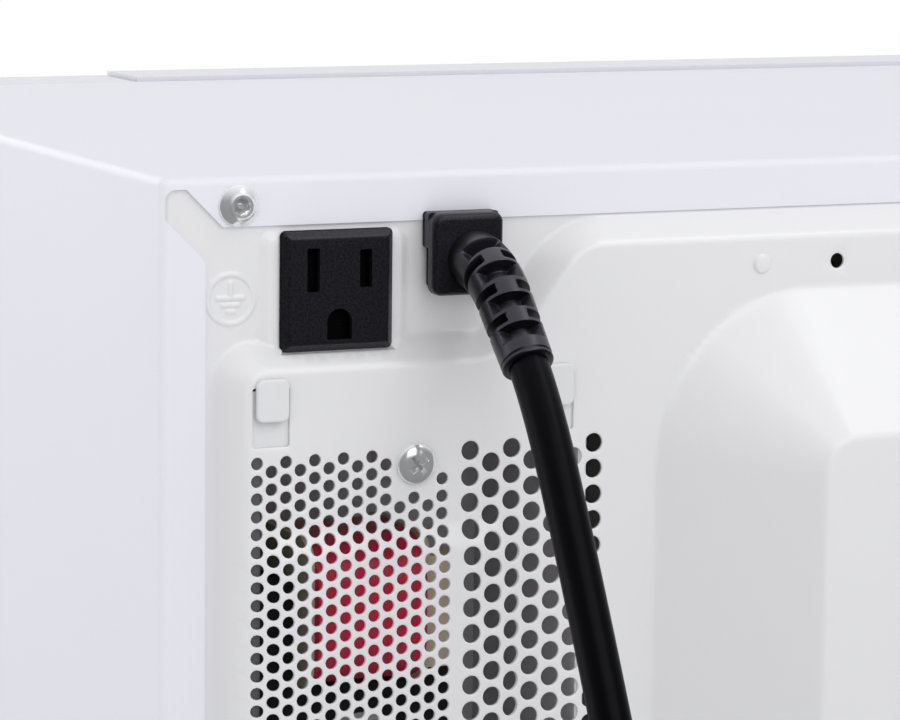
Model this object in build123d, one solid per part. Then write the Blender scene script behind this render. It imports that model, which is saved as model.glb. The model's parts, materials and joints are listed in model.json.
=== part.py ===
from build123d import *
import os
from math import cos, hypot, pi, radians, sin, sqrt, tan

# Compact microwave oven with a swing door, modelled at real size in millimetres
# X runs across the front with the controls at +X, Y runs from the door to the rear, Z is up
# The origin is the middle of the space it stands in, at the height of the worktop

# Overall sizes
WIDTH = 440.0
WRAP_TOP = 256.8
BODY_DEPTH = 300.0
BULGE_W = 31.0
FOOT_H = 10.0
SHEET = 0.8
FRONT_T = 29.2
DOOR_OVER_WRAP = 1.2
FIT = 0.1
LOOSE = 0.3

SIDE_X = WIDTH / 2
FRONT_Y = -(BODY_DEPTH + BULGE_W) / 2
REAR_Y = FRONT_Y + BODY_DEPTH
PLATE_Y = FRONT_Y + FRONT_T + SHEET
WRAP_Y = PLATE_Y
INNER_X = SIDE_X - SHEET - FIT
FLOOR_Z = FOOT_H + SHEET

# Wrap
FOLD_R = 2.0
FLANGE_TOP = 11.3
FLANGE_SIDE = 10.6
RELIEF_EDGE = 1.2
RELIEF_TOP = 2.7
RELIEF_WIDTH = 4.9
RELIEF_REACH = 7.4
RELIEF_R = 2.4

# Rear panel, measured as u from the control side, v down from the wrap's top, w out from the rear flange
RIM_W = -0.8
RIM_FLANGE = 8.0
PANEL_EDGE = 0.9
PANEL_EDGE_R = 1.6
PLATEAU_W = 6.5
PLATEAU_SIDE = 18.3
PLATEAU_TOP = 17.5
PLATEAU_STEP_TOP = 43.0
PLATEAU_STEP_X = 81.5
PLATEAU_CORNER_X = 98.4
PLATEAU_BOTTOM = 28.8
PLATEAU_TAPER = 39.0
PLATEAU_R = 4.0
PLATEAU_INSIDE_R = 8.0
PLATEAU_FILLET = 2.2
BULGE_U0 = 151.6
BULGE_SIDE = 58.6
BULGE_V0 = 61.8
BULGE_BOTTOM = 72.0
BULGE_R = 6.0
BULGE_TAPER = 52.56
BULGE_FILLET = 3.0
PAD_W = 8.4
PAD_U0 = 25.3
PAD_U1 = 79.7
PAD_V0 = 85.3
PAD_V1 = 178.0
PAD_TAPER = 72.0
PAD_R = 3.0
SEAT_W = 0.57
SEAT_U0 = 25.4
SEAT_U1 = 57.35
SEAT_V0 = 14.1
SEAT_V1 = 42.0
SEAT_TAPER = 54.2
SEAT_R = 2.0
POCKET_GAP = 0.4
SMALL_VENT_D = 2.9
SMALL_VENT_PITCH = 4.0
SMALL_VENT_U0 = 20.45
SMALL_VENT_COLUMNS = 14
BIG_VENT_D = 4.5
BIG_VENT_PITCH = 6.0
BIG_VENT_U0 = 72.4
BIG_VENT_COLUMNS = 7
VENT_V0 = 63.5
VENT_V1 = 172.0
DIMPLE_U = 146.6
HOLE_U = 166.8
DIMPLE_V = 23.85
EARTH_U = 16.8
EARTH_V = 27.4
EARTH_R = 5.85

# Screws
SCREW_HEAD_R = 4.7
SCREW_HEAD_H = 2.4
SCREW_R = 1.75
SCREW_U = 18.4
SCREW_V = 6.6
SIDE_SCREW_U = 5.4
SIDE_SCREW_Z = 60.0
DUCT_SCREW_U = 58.8
DUCT_SCREW_V = 65.7

# Accessory outlet
OUTLET_U = 41.4
OUTLET_V = 26.1
OUTLET_WIDE = 27.0
OUTLET_TALL = 27.2
OUTLET_FACE_W = 3.1
OUTLET_CHAMFER = 1.7
OUTLET_BACK_W = -26.0
SLOT_GAP = 12.7
SLOT_T = 3.0
SLOT_LONG = 9.8
SLOT_SHORT = 8.5
SLOT_RISE = 4.8
EARTH_SLOT_R = 3.0
EARTH_SLOT_DROP = 7.0
SLOT_DEEP = 18.0

# Cord clamp block
GLAND_U0 = 62.7
GLAND_U1 = 80.1
GLAND_V0 = 9.3
GLAND_V1 = 28.0
GLAND_FACE_W = 7.0
GLAND_SLAB = 3.7
GLAND_NECK = 3.0
GLAND_HOLE = 1.6
GLAND_INSIDE_W = -14.0

# Duct clips that hook over the rear panel
CLIP_U = (23.75, 93.9)
CLIP_WIDE = 7.6
CLIP_V0 = 44.5
CLIP_V1 = 54.2
CLIP_SLOT_V0 = 46.6
CLIP_SLOT_V1 = 60.0
CLIP_SLOT_WIDE = 8.9
CLIP_TAB = 1.5
CLIP_NECK_V0 = 47.4

# Oven cavity
CAV_LEFT = 21.5
CAV_RIGHT = 114.5
CAV_FLOOR = 34.0
CAV_HEADROOM = 24.8
CAV_REAR_GAP = 10.5
CAV_BULGE_GAP = 4.0
CAV_BULGE_TAPER = 43.0
CAV_BULGE_R = 40.0
CAV_BULGE_MARGIN = 2.0
OPENING_LIP = 1.0
FRAME_LIP = 8.0

CAV_X0 = -SIDE_X + CAV_LEFT
CAV_X1 = SIDE_X - CAV_RIGHT
CAV_Z0 = CAV_FLOOR
CAV_Z1 = WRAP_TOP - CAV_HEADROOM
CAV_Y1 = REAR_Y - CAV_REAR_GAP
CAV_X = (CAV_X0 + CAV_X1) / 2
CAV_Y = (WRAP_Y + CAV_Y1) / 2 + 13.0
CAV_OUT_X = CAV_X1 + SHEET

# Door
DOOR_SPLIT = 93.5
DOOR_GAP = 0.5
DOOR_BOTTOM = 10.5
DOOR_WALL = 2.5
DOOR_FACE = 3.2
FRONT_R = 3.0
HINGE_IN = 8.0
HINGE_FROM_PLATE = 11.0
HINGE_PIN_R = 2.5
HINGE_BORE = 0.05
HINGE_ARM_T = 2.0
HINGE_ARM_HALF = 5.0
HINGE_SLOT = 0.5
HINGE_PIN_LONG = 8.0
WINDOW_LEFT = 50.0
WINDOW_RIGHT = 66.5
WINDOW_BOTTOM = 60.0
WINDOW_TOP = 42.0
WINDOW_LAP = 8.0
WINDOW_T = 1.8
POST_R = 4.0

DOOR_X0 = -SIDE_X
DOOR_X1 = SIDE_X - DOOR_SPLIT
DOOR_Z0 = DOOR_BOTTOM
DOOR_Z1 = WRAP_TOP + DOOR_OVER_WRAP
DOOR_Y1 = PLATE_Y - DOOR_GAP - SHEET
FACE_IN_Y = FRONT_Y + DOOR_FACE
HINGE_X = DOOR_X0 + HINGE_IN
HINGE_Y = PLATE_Y - SHEET - HINGE_FROM_PLATE
HINGE_TOP_Z = DOOR_Z1 - 6.0
HINGE_LOW_Z = DOOR_Z0 + 3.5
WIN_X0 = DOOR_X0 + WINDOW_LEFT
WIN_X1 = DOOR_X1 - WINDOW_RIGHT
WIN_Z0 = WINDOW_BOTTOM
WIN_Z1 = WRAP_TOP - WINDOW_TOP
LINER_Y = DOOR_Y1 - 5.0
COVER_REAR_GAP = 0.3

# Latch
LATCH_X = 115.0 - 220.0 + SIDE_X
LATCH_BAR_HALF = 3.0
LATCH_BAR_Y = FRONT_Y + 7.5
LATCH_BAR_T = 6.0
LATCH_BAR_Z0 = 58.0
LATCH_TRAVEL = 3.3
HOOK_X = LATCH_X - 1.5
HOOK_HALF = 2.0
HOOK_H = 8.0
HOOK_Z = (68.0, 188.0)
HOOK_REACH = 16.5
HOOK_NOSE = 3.5
HOOK_NOSE_LONG = 6.0
STRIKE_LONG = 4.5
STRIKE_T = 3.2

# Control side
PANEL_GAP = 1.0
PANEL_WALL = 2.5
PANEL_FACE = 3.0
PAD_SIDE = 9.0
PAD_Z0 = 75.0
PAD_Z1 = 195.0
PAD_T = 0.8
LENS_SIDE = 13.0
LENS_Z0 = 212.0
LENS_Z1 = 240.0
LENS_T = 2.0
BUTTON_SIDE = 10.0
BUTTON_Z0 = 20.0
BUTTON_Z1 = 58.0
BUTTON_DEEP = 10.0
BUTTON_TRAVEL = 4.0
BOARD_T = 1.6

CP_X0 = DOOR_X1 + PANEL_GAP
CP_X1 = SIDE_X
CP_FRONT_IN = FRONT_Y + PANEL_FACE

# Release lever
LEVER_Y = WRAP_Y + 4.2
LEVER_Z = 54.0
LEVER_R = 2.0
LEVER_REACH = 12.0
LEVER_DROP = 13.0
LEVER_TIP = 4.0

# Electrics in the side compartment
COMPARTMENT_X = (CAV_OUT_X + INNER_X) / 2
CORE_WIDE = 86.0
CORE_TALL = 72.0
CORE_STACK = 46.0
CORE_FLANGE = 2.0
CAP_LONG = 52.0
CAP_WIDE = 33.0
CAP_TALL = 90.0
GUIDE_DEEP = 29.7
GUIDE_Y0 = -30.0
GUIDE_Y1 = 50.0
GUIDE_Z0 = 95.0
GUIDE_TOP_GAP = 24.8
MAG_Z0 = 152.0
MAG_TALL = 80.0
MAG_DEEP = 46.0
MAG_GAP = 1.0
TUBE_R = 20.0
ANTENNA_R = 7.5
FIN_COUNT = 10
MICA_T = 0.8

# Air duct, motor and fan
DUCT_U0 = 19.5
DUCT_U1 = 102.0
DUCT_V0 = 47.3
DUCT_V1 = 186.8
DUCT_LONG = 58.0
DUCT_WALL = 2.0
FAN_U = 53.0
FAN_V = 138.8
FAN_R = 30.8
FAN_COLLAR = 0.7
FAN_DEEP = 11.0
FAN_HUB_R = 9.0
FAN_BLADES = 5
SHAFT_R = 2.0
SHAFT_FIT = 0.05
ROTOR_R = 12.7
MOTOR_U = 51.0
MOTOR_WIDE = 52.0
MOTOR_STACK = 18.0
MOTOR_BACK_W = -9.5
MOTOR_LEG = 12.0
COIL_V = 100.8
COIL_OUT = 34.0
COIL_LONG = 26.0
BOBBIN_T = 1.5

# Turntable
TRAY_R = 122.5
TRAY_FLAT_R = 94.0
TRAY_RISE = 12.0
TRAY_T = 4.0
ROLLER_R = 6.7
ROLLER_RUN = 14.0
ROLLER_TRACK = 88.0
ROLLER_WIDE = 6.0
RING_R = 80.0
RING_T = 4.0
STEM_R = 3.5
TT_MOTOR_R = 25.0
TT_MOTOR_H = 17.0

# Mains cord
CORD_R = 4.6
BOOT_U = 72.7
BOOT_V = 19.9
BOOT_ARC_R = 25.5
BOOT_START = 5.0
BOOT_BEND = 18.0
BOOT_LONG = 36.0
BOOT_ROOT_R = 6.7
BOOT_END_R = 5.9
BOOT_CORE_R = 5.0
BOOT_TURN = 14.0
BOOT_RING = 1.3
BOOT_SIDE_GAP = 1.8
BOOT_FRONT_GAP = 3.5
BOOT_ROOT_LONG = 4.3
COIL_Z = CORD_R + 0.1
COIL_R = 53.0
COIL_PITCH = 9.8
COIL_LAYER = 9.7
COIL_TURNS = 2.5
COIL_EXIT = 32.0
RELIEF_LONG = 22.0
PLUG_LONG = 36.0
BLADE_LONG = 17.5


def span_box(x0, x1, y0, y1, z0, z1):
    """Box between two opposite corners."""
    return Pos((x0 + x1) / 2, (y0 + y1) / 2, (z0 + z1) / 2) * Box(x1 - x0, y1 - y0, z1 - z0)


def rod_x(y, z, x0, x1, radius):
    """Cylinder along X."""
    return Pos((x0 + x1) / 2, y, z) * Rot(0, 90, 0) * Cylinder(radius, x1 - x0)


def rod_y(x, z, y0, y1, radius):
    """Cylinder along Y."""
    return Pos(x, (y0 + y1) / 2, z) * Rot(90, 0, 0) * Cylinder(radius, y1 - y0)


def rod_z(x, y, z0, z1, radius):
    """Cylinder along Z."""
    return Pos(x, y, (z0 + z1) / 2) * Cylinder(radius, z1 - z0)


def edges_at(shape, x=None, y=None, z=None):
    """Edges that lie wholly on the given coordinate planes."""
    found = ShapeList()
    for edge in shape.edges():
        box = edge.bounding_box()
        limits = ((x, box.min.X, box.max.X), (y, box.min.Y, box.max.Y), (z, box.min.Z, box.max.Z))
        if all(want is None or (abs(low - want) < 0.01 and abs(high - want) < 0.01) for want, low, high in limits):
            found.append(edge)
    return found


def rear_plane(w):
    """Drawing plane on the rear, with its x as u and its y as minus v."""
    return Plane(origin=(SIDE_X, REAR_Y + w, WRAP_TOP), x_dir=(-1, 0, 0), z_dir=(0, 1, 0))


def rear_box(u0, u1, v0, v1, w0, w1):
    """Box given in the rear's own measures."""
    return span_box(SIDE_X - u1, SIDE_X - u0, REAR_Y + w0, REAR_Y + w1, WRAP_TOP - v1, WRAP_TOP - v0)


def rear_rod(u, v, w0, w1, radius):
    """Cylinder square to the rear."""
    return rod_y(SIDE_X - u, WRAP_TOP - v, REAR_Y + w0, REAR_Y + w1, radius)


def moved_out(points, amount):
    """Corners of a counter-clockwise outline with every side moved out by the amount."""
    moved = []
    for index, (x, y) in enumerate(points):
        before = points[index - 1]
        after = points[(index + 1) % len(points)]
        ax, ay = x - before[0], y - before[1]
        bx, by = after[0] - x, after[1] - y
        la, lb = hypot(ax, ay), hypot(bx, by)
        nax, nay = ay / la, -ax / la
        nbx, nby = by / lb, -bx / lb
        share = amount / (1 + nax * nbx + nay * nby)
        moved.append((x + share * (nax + nbx), y + share * (nay + nby)))
    return moved


def turns_left(points, index):
    """True at a convex corner of a counter-clockwise outline."""
    x, y = points[index]
    before = points[index - 1]
    after = points[(index + 1) % len(points)]
    return (x - before[0]) * (after[1] - y) - (y - before[1]) * (after[0] - x) > 0


def boss(points, radii, w_base, w_top, taper):
    """Pressed boss on the rear, drawn at its top and spreading to its base."""
    spread = (w_top - w_base) * tan(radians(taper))
    base = moved_out(points, spread)
    base_radii = [r + spread if turns_left(points, i) else max(r - spread, 0.4) for i, r in enumerate(radii)]
    foot = rear_plane(w_base) * make_face(FilletPolyline(*base, radius=base_radii, close=True))
    head = rear_plane(w_top) * make_face(FilletPolyline(*points, radius=radii, close=True))
    return loft([foot.face(), head.face()], ruled=True)


def rectangle(u0, u1, v0, v1):
    """Counter-clockwise corners of an upright rectangle on the rear."""
    return [(u0, -v1), (u1, -v1), (u1, -v0), (u0, -v0)]


# Casing

def folded_shell(x, y0, y1, z0, z1, radius):
    """Block with its top and rear folds rounded."""
    block = span_box(-x, x, y0, y1, z0, z1)
    folds = edges_at(block, y=y1) - edges_at(block, y=y1, z=z0)
    folds += edges_at(block, x=-x, z=z1) + edges_at(block, x=x, z=z1)
    return fillet(folds, radius)


def rear_opening():
    """Opening in the wrap's rear, with the slanted relief at both corners."""
    foot = -(WRAP_TOP - FOOT_H) - 1
    reach = RELIEF_REACH
    half = [
        (FLANGE_SIDE, foot),
        (FLANGE_SIDE, -FLANGE_TOP - reach),
        (RELIEF_EDGE, -FLANGE_TOP - reach + FLANGE_SIDE - RELIEF_EDGE),
        (RELIEF_EDGE, -RELIEF_TOP),
        (RELIEF_EDGE + RELIEF_WIDTH, -RELIEF_TOP),
        (RELIEF_EDGE + RELIEF_WIDTH + FLANGE_TOP - RELIEF_TOP, -FLANGE_TOP),
    ]
    other = [(WIDTH - u, v) for u, v in half]
    outline = Polygon(*other, *reversed(half), align=None)
    corners = outline.vertices().filter_by(lambda p: abs(p.Y + RELIEF_TOP) < 0.01)
    ends = corners.filter_by(lambda p: min(p.X, WIDTH - p.X) < RELIEF_EDGE + 0.1)
    outline = fillet(ends, RELIEF_R)
    return extrude(rear_plane(1.0) * outline, amount=-1.0 - FOLD_R)


def outer_wrap():
    inner_x = SIDE_X - SHEET
    shell = folded_shell(SIDE_X, WRAP_Y, REAR_Y, FOOT_H, WRAP_TOP, FOLD_R)
    inside = folded_shell(inner_x, WRAP_Y - 1, REAR_Y - SHEET, FOOT_H - 1, WRAP_TOP - SHEET, FOLD_R - SHEET)
    shell -= inside
    shell -= rear_opening()
    for u, v in screw_places():
        shell -= rear_rod(u, v, -FOLD_R, 1, SCREW_R + FIT)
    return shell


def screw_places():
    """Rear case screws: two in the top flange and one low in each side flange."""
    low = WRAP_TOP - SIDE_SCREW_Z
    return [(SCREW_U, SCREW_V), (WIDTH - SCREW_U, SCREW_V), (SIDE_SCREW_U, low), (WIDTH - SIDE_SCREW_U, low)]


def base_plate():
    edge = INNER_X
    plate = span_box(-edge, edge, WRAP_Y, REAR_Y - SHEET, FOOT_H, FLOOR_Z)
    for side in (-1, 1):
        lip = span_box(0, SHEET, WRAP_Y + 12, REAR_Y - 12, FOOT_H, FOOT_H + 8)
        plate += Pos(-edge if side < 0 else edge - SHEET, 0, 0) * lip
    for x, y in foot_places():
        plate -= rod_z(x, y, FOOT_H - 1, FLOOR_Z + 1, 3.1)
    return chamfer(edges_at(plate, x=-edge, y=REAR_Y - SHEET) + edges_at(plate, x=edge, y=REAR_Y - SHEET), FOLD_R)


def foot_places():
    return [(x, y) for x in (-SIDE_X + 30, SIDE_X - 30) for y in (WRAP_Y + 25, REAR_Y - 29.5)]


def foot():
    """Moulded foot with a barbed stem that snaps through the base."""
    pad = fillet(edges_at(Pos(0, 0, FOOT_H / 2) * Cylinder(9, FOOT_H), z=0), 1.2)
    return pad + rod_z(0, 0, FOOT_H, FLOOR_Z + 0.1, 2.8) + rod_z(0, 0, FLOOR_Z + 0.1, FLOOR_Z + 2, 3.8)


def feet():
    return Part() + [Pos(x, y, 0) * foot() for x, y in foot_places()]


def plateau_points():
    """Outline of the plateau's top: stepped down round the outlet and the cord."""
    right = WIDTH - PLATEAU_SIDE
    bottom = -(WRAP_TOP - PLATEAU_BOTTOM)
    return [
        (PLATEAU_SIDE, bottom),
        (right, bottom),
        (right, -PLATEAU_TOP),
        (PLATEAU_CORNER_X + 1.6, -PLATEAU_TOP),
        (PLATEAU_STEP_X, -PLATEAU_STEP_TOP),
        (PLATEAU_SIDE, -PLATEAU_STEP_TOP),
    ]


def plateau(shift):
    radii = [PLATEAU_R, PLATEAU_R, PLATEAU_R, PLATEAU_R, PLATEAU_INSIDE_R, PLATEAU_R]
    raised = boss(plateau_points(), radii, RIM_W - shift, PLATEAU_W - shift, PLATEAU_TAPER)
    return fillet(edges_at(raised, y=REAR_Y + PLATEAU_W - shift), PLATEAU_FILLET)


def bulge(shift):
    points = rectangle(BULGE_U0, WIDTH - BULGE_SIDE, BULGE_V0, WRAP_TOP - BULGE_BOTTOM)
    raised = boss(points, [BULGE_R] * 4, PLATEAU_W - shift, BULGE_W - shift, BULGE_TAPER)
    return fillet(edges_at(raised, y=REAR_Y + BULGE_W - shift), BULGE_FILLET)


def vent_pad(shift):
    points = rectangle(PAD_U0, PAD_U1, PAD_V0, PAD_V1)
    return boss(points, [PAD_R] * 4, PLATEAU_W - shift, PAD_W - shift, PAD_TAPER)


def outlet_seat(shift):
    points = rectangle(SEAT_U0, SEAT_U1, SEAT_V0, SEAT_V1)
    return boss(points, [SEAT_R] * 4, RIM_W - shift, SEAT_W - shift, SEAT_TAPER)


def outlet_pocket(shift):
    """Room for the foot of the outlet, pressed into the plateau's slope below it."""
    half = OUTLET_WIDE / 2 + POCKET_GAP + shift
    bottom = OUTLET_V + OUTLET_TALL / 2
    return rear_box(OUTLET_U - half, OUTLET_U + half, bottom - 3, bottom + POCKET_GAP + shift,
                    SEAT_W - shift, PLATEAU_W)


def pressed_panel(shift):
    """Solid rear panel form; the form moved in by one sheet is what hollows it."""
    edge = PANEL_EDGE + shift
    front = RIM_W - SHEET - RIM_FLANGE - shift
    slab = rear_box(edge, WIDTH - edge, edge, WRAP_TOP - FLOOR_Z - shift, front, RIM_W - shift)
    top = WRAP_TOP - edge
    slab = fillet(edges_at(slab, x=edge - SIDE_X, z=top) + edges_at(slab, x=SIDE_X - edge, z=top), FOLD_R)
    slab = fillet(edges_at(slab, y=REAR_Y + RIM_W - shift), PANEL_EDGE_R - shift)
    return slab + plateau(shift) + bulge(shift) + vent_pad(shift) + outlet_seat(shift) - outlet_pocket(shift)


def vent_field(u0, columns, step, pitch, radius, keep_clear):
    """Staggered round vents in columns, as one face."""
    holes = []
    for column in range(columns):
        u = u0 + column * step
        v = VENT_V0 + (pitch / 2 if column % 2 else 0)
        while v < VENT_V1:
            if hypot(u - DUCT_SCREW_U, v - DUCT_SCREW_V) > keep_clear:
                holes.append(Pos(u, -v) * Circle(radius))
            v += pitch
    return extrude(rear_plane(PAD_W + 1) * (Sketch() + holes), amount=-(PAD_W - PLATEAU_W) - 4)


def earth_mark():
    """Pressed earth symbol: a ring, a stem and three bars."""
    ring = Circle(EARTH_R) - Circle(EARTH_R - 0.7)
    mark = ring + Pos(0, 2.0) * Rectangle(0.7, 3.6)
    for drop, length in ((0.0, 6.6), (1.5, 4.2), (3.0, 2.0)):
        mark += Pos(0, 0.2 - drop) * Rectangle(length, 0.7)
    return extrude(rear_plane(RIM_W - 0.2) * Pos(EARTH_U, -EARTH_V) * mark, amount=0.45)


def back_panel():
    panel = pressed_panel(0)
    panel += rear_rod(DIMPLE_U, DIMPLE_V, PLATEAU_W - 0.3, PLATEAU_W + 0.5, 2.2)
    panel += earth_mark()
    panel -= pressed_panel(SHEET)
    panel -= vent_field(SMALL_VENT_U0, SMALL_VENT_COLUMNS, SMALL_VENT_PITCH * sqrt(3) / 2,
                        SMALL_VENT_PITCH, SMALL_VENT_D / 2, SCREW_HEAD_R + 2.2)
    panel -= vent_field(BIG_VENT_U0, BIG_VENT_COLUMNS, BIG_VENT_PITCH * sqrt(3) / 2,
                        BIG_VENT_PITCH, BIG_VENT_D / 2, 0)
    panel -= outlet_block(OUTLET_WIDE - 2, OUTLET_TALL - 2, RIM_W - 4, SEAT_W + 1)
    panel -= rear_box(GLAND_U0 + GLAND_HOLE, GLAND_U1 - GLAND_HOLE, FLANGE_TOP + 0.5,
                      GLAND_V1 - GLAND_HOLE, RIM_W - 2, RIM_W + 1)
    for u in CLIP_U:
        half = CLIP_SLOT_WIDE / 2
        panel -= rear_box(u - half, u + half, CLIP_SLOT_V0, CLIP_SLOT_V1, PLATEAU_W - 2, PLATEAU_W + 1)
    panel -= rear_rod(HOLE_U, DIMPLE_V, PLATEAU_W - 2, PLATEAU_W + 1, 1.8)
    panel -= rear_rod(DUCT_SCREW_U, DUCT_SCREW_V, PLATEAU_W - 2, PLATEAU_W + 1, SCREW_R + FIT)
    for u, v in screw_places():
        panel -= rear_rod(u, v, RIM_W - 2, RIM_W + 1, SCREW_R + FIT)
    return panel


def security_screw(u, v):
    """Domed case screw with a ringed recess and a centre pin."""
    head = rear_rod(u, v, 0, SCREW_HEAD_H, SCREW_HEAD_R)
    head = fillet(edges_at(head, y=REAR_Y + SCREW_HEAD_H), 1.6)
    head += rear_rod(u, v, SCREW_HEAD_H - 0.3, SCREW_HEAD_H + 0.2, 2.7)
    recess = extrude(rear_plane(SCREW_HEAD_H + 0.3) * Pos(u, -v) * RegularPolygon(2.1, 6), amount=-1.6)
    head -= recess - rear_rod(u, v, SCREW_HEAD_H - 1.4, SCREW_HEAD_H + 0.4, 0.7)
    return head + rear_rod(u, v, -9, 0.1, SCREW_R)


def case_screws():
    return Part() + [security_screw(u, v) for u, v in screw_places()]


def duct_screw():
    """Pan-head screw with a cross recess that holds the duct to the rear panel."""
    u, v = DUCT_SCREW_U, DUCT_SCREW_V
    head = rear_rod(u, v, PLATEAU_W, PLATEAU_W + SCREW_HEAD_H, SCREW_HEAD_R)
    head = fillet(edges_at(head, y=REAR_Y + PLATEAU_W + SCREW_HEAD_H), 1.8)
    cross = Rectangle(4.4, 0.9) + Rectangle(0.9, 4.4)
    deep = 1.5
    top = rear_plane(PLATEAU_W + SCREW_HEAD_H + 0.1)
    head -= extrude(top * Pos(u, -v) * Rot(0, 0, 38) * cross, amount=-deep)
    return head + rear_rod(u, v, PLATEAU_W - 9, PLATEAU_W + 0.1, SCREW_R)


# Front frame and oven cavity

def hook_slots(y0, y1, half, down, up):
    """Slots that the two latch hooks pass through."""
    middle = HOOK_X + 0.5
    return Part() + [
        span_box(middle - half, middle + half, y0, y1, z - HOOK_NOSE - LATCH_TRAVEL - down, z + HOOK_H + up)
        for z in HOOK_Z
    ]


def hinge_slot(z0, y0, y1, gap):
    half = HINGE_ARM_HALF + gap
    return span_box(HINGE_X - half, HINGE_X + half, y0, y1, z0 - gap, z0 + HINGE_ARM_T + gap)


def front_plate():
    """Flat front frame with its edges turned back inside the wrap."""
    front = PLATE_Y - SHEET
    edge = SIDE_X - LOOSE
    top = WRAP_TOP - LOOSE
    plate = span_box(-edge, edge, front, PLATE_Y, FOOT_H, top)
    plate = fillet(edges_at(plate, x=-edge, z=top) + edges_at(plate, x=edge, z=top), FOLD_R)
    lip_top = WRAP_TOP - SHEET - FIT
    lips = span_box(-INNER_X, INNER_X, PLATE_Y, PLATE_Y + FRAME_LIP, FLOOR_Z, lip_top)
    lips = fillet(edges_at(lips, x=-INNER_X, z=lip_top) + edges_at(lips, x=INNER_X, z=lip_top), FOLD_R)
    lips -= span_box(-INNER_X + SHEET, INNER_X - SHEET, PLATE_Y - 1, PLATE_Y + FRAME_LIP + 1, 0, lip_top - SHEET)
    plate += lips
    lip = OPENING_LIP
    plate -= span_box(CAV_X0 + lip, CAV_X1 - lip, front - 1, PLATE_Y + 1, CAV_Z0 + lip, CAV_Z1 - lip)
    plate -= hook_slots(front - 1, PLATE_Y + 1, 4.5, 0.5, 1.5)
    for z in (HINGE_LOW_Z, HINGE_TOP_Z):
        plate -= hinge_slot(z, front - 1, PLATE_Y + 1, 0.2)
    return plate - stem_box(front - 1, PLATE_Y + 1, 1.0)


def cavity_form(shift):
    """Oven box with the turntable bulge in its rear wall."""
    grow = SHEET - shift
    box = span_box(CAV_X0 - grow, CAV_X1 + grow, PLATE_Y, CAV_Y1 + grow, CAV_Z0 - grow, CAV_Z1 + grow)
    base_w = CAV_Y1 + grow - REAR_Y
    top_w = BULGE_W - CAV_BULGE_GAP - shift
    rise = BULGE_W - CAV_BULGE_GAP - (CAV_Y1 + SHEET - REAR_Y)
    spread = rise * tan(radians(CAV_BULGE_TAPER)) + CAV_BULGE_MARGIN
    points = rectangle(SIDE_X - CAV_X1 + spread, SIDE_X - CAV_X0 - spread,
                       WRAP_TOP - CAV_Z1 + spread, WRAP_TOP - CAV_Z0 - spread)
    return box + boss(points, [5.0] * 4, base_w, top_w, CAV_BULGE_TAPER)


def cavity_shell():
    """Four walls folded round the oven, and the rear wall spot-welded over their ends."""
    shell = cavity_form(0) - cavity_form(SHEET)
    shell -= span_box(CAV_X0, CAV_X1, PLATE_Y - 1, CAV_Y1, CAV_Z0, CAV_Z1)
    shell -= rod_z(CAV_X, CAV_Y, CAV_Z0 - 2, CAV_Z0 + 1, STEM_R + 3)
    shell -= span_box(CAV_X1 - 1, CAV_OUT_X + 1, -15, 35, 105, 145)
    for row in range(3):
        for column in range(3):
            shell -= rod_x(LAMP_Y - 6 + 6 * column, LAMP_Z - 6 + 6 * row, CAV_X1 - 1, CAV_OUT_X + 1, 1.6)
    rear = span_box(CAV_X0 - 2, CAV_X1 + 2, CAV_Y1, REAR_Y + BULGE_W, CAV_Z0 - 2, CAV_Z1 + 2)
    return Compound([*(shell - rear).solids(), *(shell & rear).solids()])


# Door

def corner_round(block):
    """Door edge behind the hinge pin, rounded about the pin so that it clears the front frame."""
    radius = DOOR_Y1 - HINGE_Y
    waste = span_box(DOOR_X0 - 1, HINGE_X, HINGE_Y, DOOR_Y1 + 1, DOOR_Z0 - 1, DOOR_Z1 + 1)
    waste -= rod_z(HINGE_X, HINGE_Y, DOOR_Z0 - 2, DOOR_Z1 + 2, radius)
    return block - waste


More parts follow.
